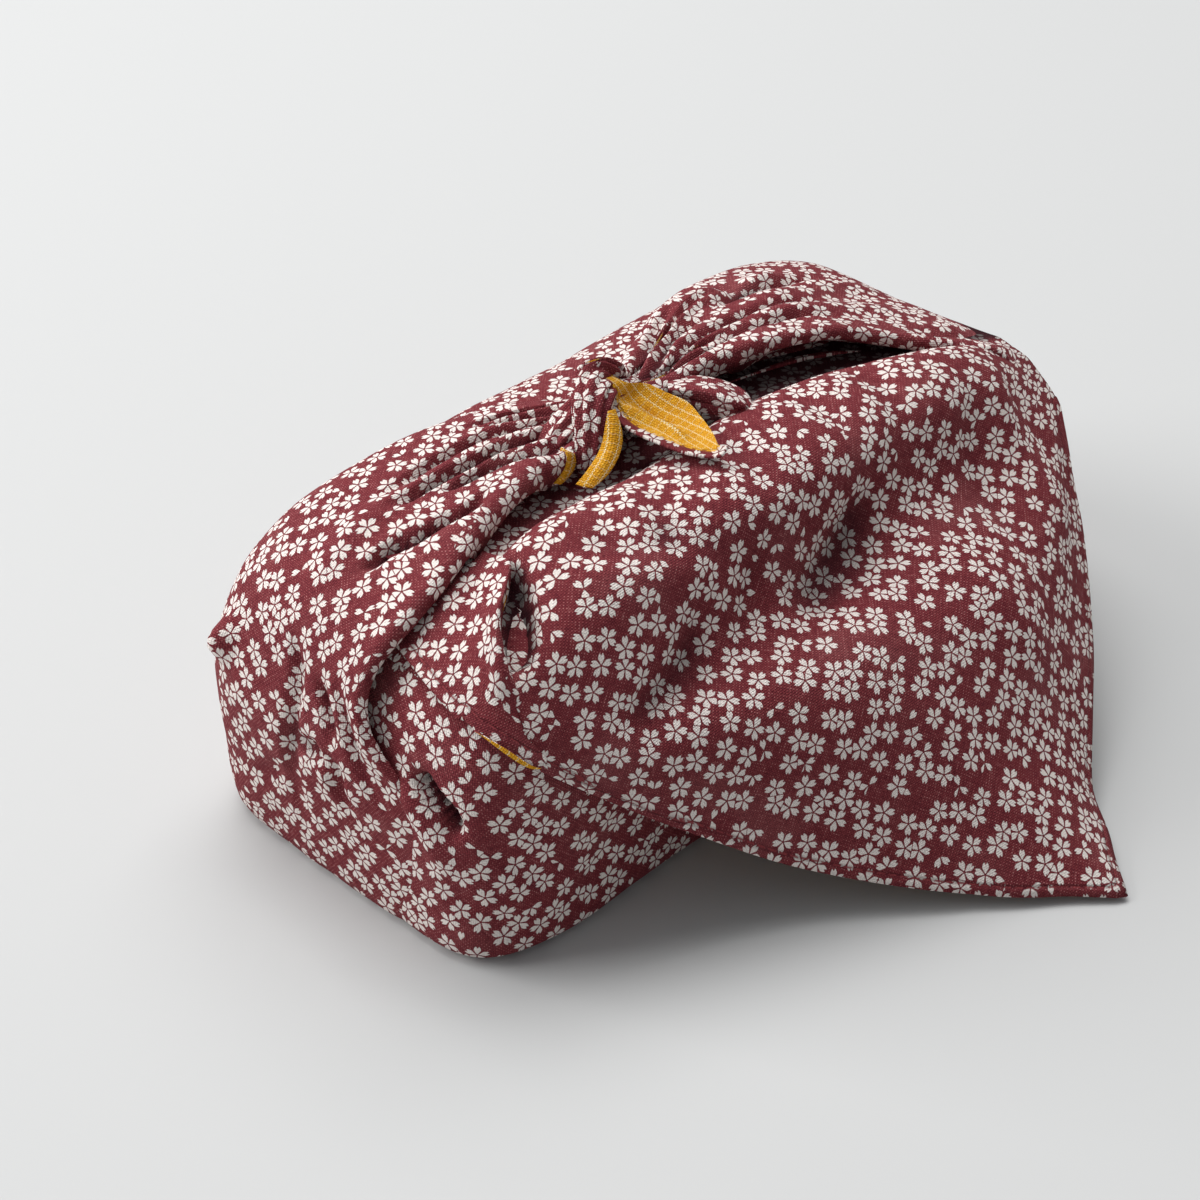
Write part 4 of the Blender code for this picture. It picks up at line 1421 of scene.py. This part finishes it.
@dataclass(frozen=True)
class Board:
    """A material's node tree, to which nodes are added one at a time."""

    tree: bpy.types.NodeTree

    def add(self, kind: str, settings: dict[str, object] | None = None,
            sockets: dict[int | str, object] | None = None) -> list[Wire]:
        """Adds a node.

        Args:
            kind: the node's type.
            settings: its settings, which are made first.
            sockets: the values or wires of its input sockets.

        Returns:
            Its outputs, in order.
        """
        node = self.tree.nodes.new(kind)
        for name, value in (settings or {}).items():
            setattr(node, name, value)
        for key, value in (sockets or {}).items():
            if isinstance(value, Wire):
                self.tree.links.new(value.socket, node.inputs[key])
            else:
                node.inputs[key].default_value = value
        return [Wire(self, output) for output in node.outputs]

    def split(self, vector: Wire) -> list[Wire]:
        """A vector's three parts."""
        return self.add("ShaderNodeSeparateXYZ", sockets={0: vector})

    def vector(self, operation: str, *values: object) -> Wire:
        """The vector result of a Vector Math node."""
        sockets = dict(enumerate(values))
        return self.add("ShaderNodeVectorMath", {"operation": operation}, sockets)[0]

    def mix(self, factor: Wire, first: object, second: object) -> Wire:
        """One colour where the factor is 0 and another where it is 1."""
        return self.add("ShaderNodeMix", {"data_type": "RGBA"}, {
            0: factor, MIX_FIRST: first, MIX_SECOND: second,
        })[MIX_RESULT]

    def attribute(self, name: str) -> Wire:
        """A number that the mesh holds at each point."""
        return self.add("ShaderNodeAttribute", {"attribute_name": name})[2]

    def noise(self, vector: Wire, scale: float, detail: float = 2.0) -> Wire:
        """A smooth random value from 0 to 1."""
        return self.add("ShaderNodeTexNoise", {"noise_dimensions": "3D"}, {
            "Vector": vector, "Scale": scale, "Detail": detail,
        })[0]


Colour = tuple[float, float, float, float]


@dataclass(frozen=True)
class Blossom:
    """The printed cherry blossoms: their spacing and size in mm, and a petal's shape.

    The petal is measured in shares of the flower's radius.
    """

    spacing: float = 5.3
    radius: float = 2.7
    scatter: float = 0.50
    size_change: float = 0.12
    petals: int = 5
    petal_middle: float = 0.57
    petal_length: float = 0.45
    petal_half_width: float = 0.275
    gap_slope: float = 0.57
    gap: float = 0.04
    notch: float = 0.77
    notch_slope: float = 1.7
    notch_soft: float = 0.6
    heart: float = 0.07
    soft: float = 0.035
    broken_share: float = 0.16
    petals_lost: float = 0.5
    chance_keys: tuple[float, float] = (57.0, 91.0)
    kept_apart: tuple[float, float] = (0.04, 0.08)
    alone_from: tuple[float, float] = (0.98, 1.02)
    clear_from: tuple[float, float] = (1.0, 1.05)

    def flower(self, board: Board, place: Wire, feature: str) -> tuple[Wire, Wire]:
        """One of the two nearest flowers to each point.

        Args:
            board: the material's nodes.
            place: the point in the cloth, in units of the spacing.
            feature: F1 for the nearest flower and F2 for the next.

        Returns:
            Its petals as a mask, and the distance to its middle in radii.
        """
        _, colour, position, *_ = board.add(
            "ShaderNodeTexVoronoi", {"voronoi_dimensions": "2D", "feature": feature},
            {"Vector": place, "Scale": 1.0, "Randomness": self.scatter})
        off = board.vector("SUBTRACT", place, position)
        x, y, _ = board.split(off)
        red, green, blue = board.split(colour)
        size = (self.radius / self.spacing) * (1 - self.size_change * blue)
        distance = (x * x + y * y).math("SQRT") / size
        full = 2 * np.pi / self.petals
        angle = (y.math("ARCTAN2", x) + red * (2 * np.pi) + 4 * np.pi) / full
        number = angle.math("FLOOR")
        local = (angle.math("FRACT") - 0.5) * full
        ahead = distance * local.math("COSINE")
        aside = (distance * local.math("SINE")).math("ABSOLUTE")
        long = (ahead - self.petal_middle) / self.petal_length
        wide = aside / self.petal_half_width
        inside = (1 - (long * long + wide * wide).math("SQRT")) * self.petal_length
        inside = inside.least(ahead * self.gap_slope - aside - self.gap)
        notch = self.notch + aside * self.notch_slope - ahead
        inside = inside.least(notch * self.notch_soft)
        inside = inside.least(ahead - self.heart)
        red_key, green_key = self.chance_keys
        key = board.add("ShaderNodeCombineXYZ", sockets={
            0: number, 1: red * red_key, 2: green * green_key})[0]
        chance = board.add("ShaderNodeTexWhiteNoise", {"noise_dimensions": "3D"},
                           {"Vector": key})[0]
        broken = (self.broken_share - green).over(0.0)
        kept = 1 - broken * (self.petals_lost - chance).over(0.0)
        return inside.ramp(-self.soft, self.soft) * kept, distance

    def mask(self, board: Board, flat: Wire) -> Wire:
        """1 on the blossoms and 0 on the ground, over the whole cloth.

        Args:
            board: the material's nodes.
            flat: the point in the cloth, in mm.

        Returns:
            The mask.
        """
        place = board.vector("SCALE", flat)
        place.socket.node.inputs["Scale"].default_value = 1 / self.spacing
        first, first_distance = self.flower(board, place, "F1")
        second, second_distance = self.flower(board, place, "F2")
        apart = (second_distance - first_distance).ramp(*self.kept_apart)
        alone = second_distance.ramp(*self.alone_from)
        clear = first_distance.ramp(*self.clear_from)
        return (first * apart.most(alone)).most(second * clear)


@dataclass(frozen=True)
class Weave:
    """The threads of the cotton: their pitch in mm and how strongly they show."""

    pitch: float = 0.66
    wave: float = 0.5
    wave_scale: float = 0.35
    crossing: float = 0.3
    single: float = 0.1
    level: float = 0.5
    slub_along: float = 0.45
    slub_across: float = 2.3
    slub_detail: float = 3.0
    slub_starts: tuple[float, float] = (1.3, 7.9)
    bump: float = 0.85
    bump_depth: float = 0.3 * MM

    def height(self, board: Board, flat: Wire) -> Wire:
        """The threads' height from 0 to 1."""
        wave = board.noise(flat, self.wave_scale) * self.wave
        x, y, _ = board.split(flat)
        warp = ((x + wave) * (2 * np.pi / self.pitch)).math("SINE")
        weft = ((y + wave) * (2 * np.pi / self.pitch)).math("SINE")
        return ((warp * weft) * self.crossing + warp * self.single + weft * self.single
                + self.level)

    def slubs(self, board: Board, flat: Wire) -> Wire:
        """Uneven threads of both directions, as a value from 0 to 1."""
        x, y, _ = board.split(flat)
        first, second = self.slub_starts
        both = [
            board.noise(board.add("ShaderNodeCombineXYZ", sockets={0: a, 1: b, 2: c})[0],
                        1.0, self.slub_detail)
            for a, b, c in ((x * self.slub_along, y * self.slub_across, first),
                            (x * self.slub_across, y * self.slub_along, second))
        ]
        return both[0].most(both[1])


@dataclass(frozen=True)
class CottonFace:
    """One face of the cotton, printed or reverse, in shades that vary over the cloth.

    Gaps are the places between threads, and slubs are thick stretches of a thread. A
    pair of numbers is where a change begins and ends, and a share is its strength.
    """

    name: str
    ground: Colour
    ground_dark: Colour
    ground_pale: Colour
    motif: Colour
    motif_dark: Colour
    blossom: Blossom = Blossom()
    weave: Weave = Weave()
    hem_line: float = 2.4 * MM
    stitch_pitch: float = 2.6 * MM
    thread_half_width: float = 0.16 * MM
    stitch_gap: float = 0.3
    dent_spread: float = 4.0
    gap_share: float = 0.85
    thin_from: float = 0.62
    thin_fade: float = 0.3
    thin_share: float = 0.35
    slub_pale: tuple[float, float] = (0.60, 0.74)
    slub_share: float = 0.4
    patch_scale: float = 0.05
    patch_pale: tuple[float, float] = (0.5, 0.8)
    patch_share: float = 0.10
    fleck_high: tuple[float, float] = (0.66, 0.95)
    fleck_thick: tuple[float, float] = (0.50, 0.62)
    fleck_share: float = 0.55
    motif_gap_share: float = 0.55
    motif_thin_from: float = 0.5
    motif_thin_fade: float = 0.25
    motif_thin_share: float = 0.3
    crepe_scale: float = 0.55
    crepe_detail: float = 3.0
    crepe_height: float = 1.1
    crepe_rough: float = 0.08
    # How strongly painted shade darkens the stitches' dent.
    dent_painted_shade: float = 0.45
    dent_depth: float = 1.6
    stitch_share: float = 0.8
    stitch_height: float = 1.2
    roughness: float = 0.86
    specular: float = 0.12
    # Painted shade: the near black colour and the strength with which each point's painted shade
    # darkens the cloth.
    painted_shade_colour: Colour = (0.012, 0.003, 0.006, 1.0)
    painted_shade_share: float = 0.85

    def flat_place(self, board: Board) -> Wire:
        """The point in the flat cloth, in mm."""
        uv = board.add("ShaderNodeUVMap", {"uv_map": CLOTH_UV})[0]
        place = board.vector("SCALE", uv)
        place.socket.node.inputs["Scale"].default_value = 1 / MM
        return place

    def motif_mask(self, board: Board, flat: Wire) -> Wire:
        """1 on this face's pattern."""
        return self.blossom.mask(board, flat)

    def coloured(self, board: Board, flat: Wire, threads: Wire) -> Wire:
        """The face's colour."""
        slubs = self.weave.slubs(board, flat)
        patches = board.noise(flat, self.patch_scale)
        thin = (self.thin_from - slubs).ramp(0.0, self.thin_fade)
        dark = (1 - threads) * self.gap_share + thin * self.thin_share
        ground = board.mix(dark.least(1.0), self.ground, self.ground_dark)
        pale = slubs.ramp(*self.slub_pale) * threads * self.slub_share
        pale = pale + patches.ramp(*self.patch_pale) * self.patch_share
        fleck = threads.ramp(*self.fleck_high) * slubs.ramp(*self.fleck_thick)
        pale = pale + fleck * self.fleck_share
        ground = board.mix(pale.least(1.0), ground, self.ground_pale)
        thin = (self.motif_thin_from - slubs).ramp(0.0, self.motif_thin_fade)
        worn = (1 - threads) * self.motif_gap_share + thin * self.motif_thin_share
        motif = board.mix(worn, self.motif, self.motif_dark)
        return board.mix(self.motif_mask(board, flat), ground, motif)

    def stitches(self, board: Board) -> tuple[Wire, Wire]:
        """The hem's sewn line, as the thread itself and the dent that it lies in."""
        hem = board.attribute(HEM_ATTRIBUTE)
        run = board.attribute(RUN_ATTRIBUTE)
        off = (hem - self.hem_line).math("ABSOLUTE")
        dash = (run / self.stitch_pitch).math("FRACT").over(self.stitch_gap)
        thread = (self.thread_half_width - off).over(0.0) * dash
        dent = 1 - off.ramp(0.0, self.dent_spread * self.thread_half_width)
        return thread, dent

    def make(self) -> None:
        """Dresses the material that the sheets already hold."""
        material = bpy.data.materials[self.name]
        material.use_nodes = True
        board = Board(material.node_tree)
        shader = material.node_tree.nodes["Principled BSDF"]
        flat = self.flat_place(board)
        threads = self.weave.height(board, flat)
        colour = self.coloured(board, flat, threads)
        thread, dent = self.stitches(board)
        # Painted shade: the colour is darkened along the dent where the stitches sink in.
        colour = board.mix(dent * self.dent_painted_shade, colour, self.ground_dark)
        colour = board.mix(thread * self.stitch_share, colour, self.ground)
        # Painted shade: the colour darkens towards near black in crease troughs and under the
        # gathers.
        hollow = board.attribute(SHADE_ATTRIBUTE) * self.painted_shade_share
        colour = board.mix(hollow, colour, self.painted_shade_colour)
        crepe = board.noise(flat, self.crepe_scale, self.crepe_detail)
        height = (threads + crepe * self.crepe_height - dent * self.dent_depth
                  + thread * self.stitch_height)
        bump = board.add("ShaderNodeBump", sockets={
            "Strength": self.weave.bump, "Distance": self.weave.bump_depth, "Height": height})
        rough = self.roughness + (crepe - 0.5) * self.crepe_rough
        links = material.node_tree.links
        links.new(colour.socket, shader.inputs["Base Color"])
        links.new(rough.socket, shader.inputs["Roughness"])
        links.new(bump[0].socket, shader.inputs["Normal"])
        shader.inputs["Specular IOR Level"].default_value = self.specular


@dataclass(frozen=True)
class LatticeFace(CottonFace):
    """The reverse, with a lattice of dashed lines, and the print where the hem turns over."""

    lattice_pitch: float = 2.9
    lattice_half_width: float = 0.27
    lattice_soft: float = 0.02
    dash_pitch: float = 1.1
    dash_from: tuple[float, float] = (0.40, 0.54)
    cross_strength: float = 0.4
    hem_turned: float = 2.6 * MM
    print_ground: Colour = (0.17, 0.028, 0.032, 1.0)
    print_motif: Colour = (0.72, 0.66, 0.61, 1.0)

    def motif_mask(self, board: Board, flat: Wire) -> Wire:
        """1 on the dashes of the lattice."""
        x, y, _ = board.split(flat)
        mask = None
        half_width = self.lattice_half_width / self.lattice_pitch
        for over, by, strength in ((x + y, x - y, 1.0), (x - y, x + y, self.cross_strength)):
            stripe = (over / self.lattice_pitch).math("FRACT") - 0.5
            second_row = stripe.over(0.0) * 0.5
            line = half_width - stripe.math("ABSOLUTE")
            line = line.ramp(-self.lattice_soft, self.lattice_soft)
            dash = (by / self.dash_pitch + second_row).math("FRACT").ramp(*self.dash_from)
            part = line * dash * strength
            mask = part if mask is None else mask.most(part)
        return mask

    def coloured(self, board: Board, flat: Wire, threads: Wire) -> Wire:
        """The lattice, and the printed face where the hem is turned over onto it."""
        lattice = super().coloured(board, flat, threads)
        printed = board.mix(self.blossom.mask(board, flat), self.print_ground, self.print_motif)
        turned = (self.hem_turned - board.attribute(HEM_ATTRIBUTE)).over(0.0)
        return board.mix(turned, lattice, printed)


# ------------------------------------------------------------ the whole cloth


@dataclass
class Furoshiki:
    """The whole wrapping cloth, joined into one piece."""

    flat_side: float = 0.45
    under: UnderCloth = field(default_factory=UnderCloth)
    loose_corner: LooseCorner = field(default_factory=LooseCorner)
    pleat: FoldedPleat = field(default_factory=FoldedPleat)
    knot: Knot = field(default_factory=Knot)
    printed: CottonFace = CottonFace(
        PRINTED_FACE, (0.27, 0.048, 0.053, 1), (0.088, 0.010, 0.018, 1),
        (0.56, 0.26, 0.25, 1), (0.88, 0.82, 0.77, 1), (0.60, 0.49, 0.46, 1))
    reverse: LatticeFace = LatticeFace(
        REVERSE_FACE, (0.78, 0.40, 0.020, 1), (0.46, 0.17, 0.008, 1),
        (0.86, 0.58, 0.12, 1), (0.82, 0.70, 0.42, 1), (0.60, 0.44, 0.20, 1))

    def build(self) -> bpy.types.Object:
        """Makes every stretch of the cloth, joins them and dresses the result."""
        parts: list[bpy.types.Object] = []
        for piece in (self.under, self.loose_corner, left_end(), right_end(), self.pleat,
                      self.knot):
            made = piece.build()
            LOG.info("%s: %s", type(piece).__name__, ", ".join(item.name for item in made))
            parts += made
        cloth = self._joined(parts)
        for finish in (self.printed, self.reverse):
            finish.make()
        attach(cloth, "root")
        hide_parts("furoshiki")
        return cloth

    def _joined(self, parts: list[bpy.types.Object]) -> bpy.types.Object:
        """Joins the stretches into one object, which is one continuous cloth."""
        cloth = parts[0]
        with bpy.context.temp_override(
                active_object=cloth, object=cloth, selected_objects=parts,
                selected_editable_objects=parts):
            bpy.ops.object.join()
        cloth.name = cloth.data.name = "cloth"
        cloth.data.calc_loop_triangles()
        LOG.info("cloth: %d triangles", len(cloth.data.loop_triangles))
        return cloth


# ------------------------------------------------------------------- the studio


NO_GLOW = (0.0, 0.0, 0.0, 1.0)


@dataclass(frozen=True)
class Lamp:
    """A soft square light that looks at the parcel: its place, power and size."""

    name: str
    place: Point
    power: float
    size: float = 1.3

    def build(self) -> None:
        """Makes the light."""
        light = bpy.data.lights.new(self.name, "AREA")
        light.size = self.size
        light.energy = self.power
        item = bpy.data.objects.new(self.name, light)
        item.location = self.place
        aim = Vector() - Vector(self.place)
        item.rotation_euler = aim.to_track_quat("-Z", "Y").to_euler()
        bpy.context.scene.collection.objects.link(item)


@dataclass(frozen=True)
class Studio:
    """The plain pale floor, the soft light and the camera.

    Far from the parcel the floor glows a little, so that it meets the surround evenly.
    """

    floor_half: float = 12.0
    floor_roughness: float = 0.7
    floor_specular: float = 0.15
    floor_colour: Colour = (0.555, 0.557, 0.553, 1.0)
    floor_fades: tuple[float, float] = (0.9, 4.0)
    far_glow: Colour = (0.124, 0.128, 0.133, 1.0)
    sky_colour: Colour = (0.90, 0.93, 0.96, 1.0)
    sky_strength: float = 0.31
    heading: float = 44.0
    pitch: float = 37.5
    camera_place: Point = (-0.3112, -0.2821, 0.3448)
    focal_length: float = 69.0
    sensor: float = 36.0
    nearest: float = 0.01
    lamps: tuple[Lamp, ...] = (
        Lamp("high", (0.0, 0.75, 2.07), 28.0),
        Lamp("window", (-1.25, 1.49, 1.03), 36.0),
        Lamp("right", (0.95, 0.55, 1.90), 17.0),
    )

    def build(self) -> None:
        """Makes the floor, the world, the lights and the camera."""
        bpy.context.scene.view_settings.view_transform = "Standard"
        self._floor()
        self._sky()
        for lamp in self.lamps:
            lamp.build()
        self._camera()

    def _floor(self) -> None:
        """A plain matt floor."""
        bm = bmesh.new()
        bmesh.ops.create_grid(bm, x_segments=1, y_segments=1, size=self.floor_half)
        mesh = bpy.data.meshes.new("floor")
        bm.to_mesh(mesh)
        bm.free()
        item = bpy.data.objects.new("floor", mesh)
        bpy.context.scene.collection.objects.link(item)
        material = bpy.data.materials.new("pale floor")
        material.use_nodes = True
        shader = material.node_tree.nodes["Principled BSDF"]
        shader.inputs["Base Color"].default_value = self.floor_colour
        shader.inputs["Roughness"].default_value = self.floor_roughness
        shader.inputs["Specular IOR Level"].default_value = self.floor_specular
        board = Board(material.node_tree)
        x, y, _ = board.split(board.add("ShaderNodeTexCoord")[OBJECT_PLACE])
        far = (x * x + y * y).math("SQRT").ramp(*self.floor_fades)
        glow = board.mix(far, NO_GLOW, self.far_glow)
        material.node_tree.links.new(glow.socket, shader.inputs["Emission Color"])
        shader.inputs["Emission Strength"].default_value = 1.0
        mesh.materials.append(material)

    def _sky(self) -> None:
        """An even pale surround."""
        world = bpy.data.worlds.new("studio")
        world.use_nodes = True
        shade = world.node_tree.nodes["Background"]
        shade.inputs[0].default_value = self.sky_colour
        shade.inputs[1].default_value = self.sky_strength
        bpy.context.scene.world = world

    def _camera(self) -> None:
        """The camera, where the picture of the parcel is taken from."""
        heading, pitch = np.radians(self.heading), np.radians(self.pitch)
        right = Vector((np.sin(heading), -np.cos(heading), 0))
        ahead = Vector((np.cos(heading) * np.cos(pitch), np.sin(heading) * np.cos(pitch),
                        -np.sin(pitch)))
        above = right.cross(ahead)
        data = bpy.data.cameras.new("camera")
        data.lens = self.focal_length
        data.sensor_width = self.sensor
        data.clip_start = self.nearest
        item = bpy.data.objects.new("camera", data)
        turn = Matrix((right, above, -ahead)).transposed().to_4x4()
        item.matrix_world = Matrix.Translation(self.camera_place) @ turn
        bpy.context.scene.collection.objects.link(item)
        bpy.context.scene.camera = item


def main() -> None:
    """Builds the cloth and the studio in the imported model's frame."""
    logging.basicConfig(level=logging.INFO, format="%(name)s: %(message)s")
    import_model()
    Studio().build()
    Furoshiki().build()


if __name__ == "__main__":
    main()
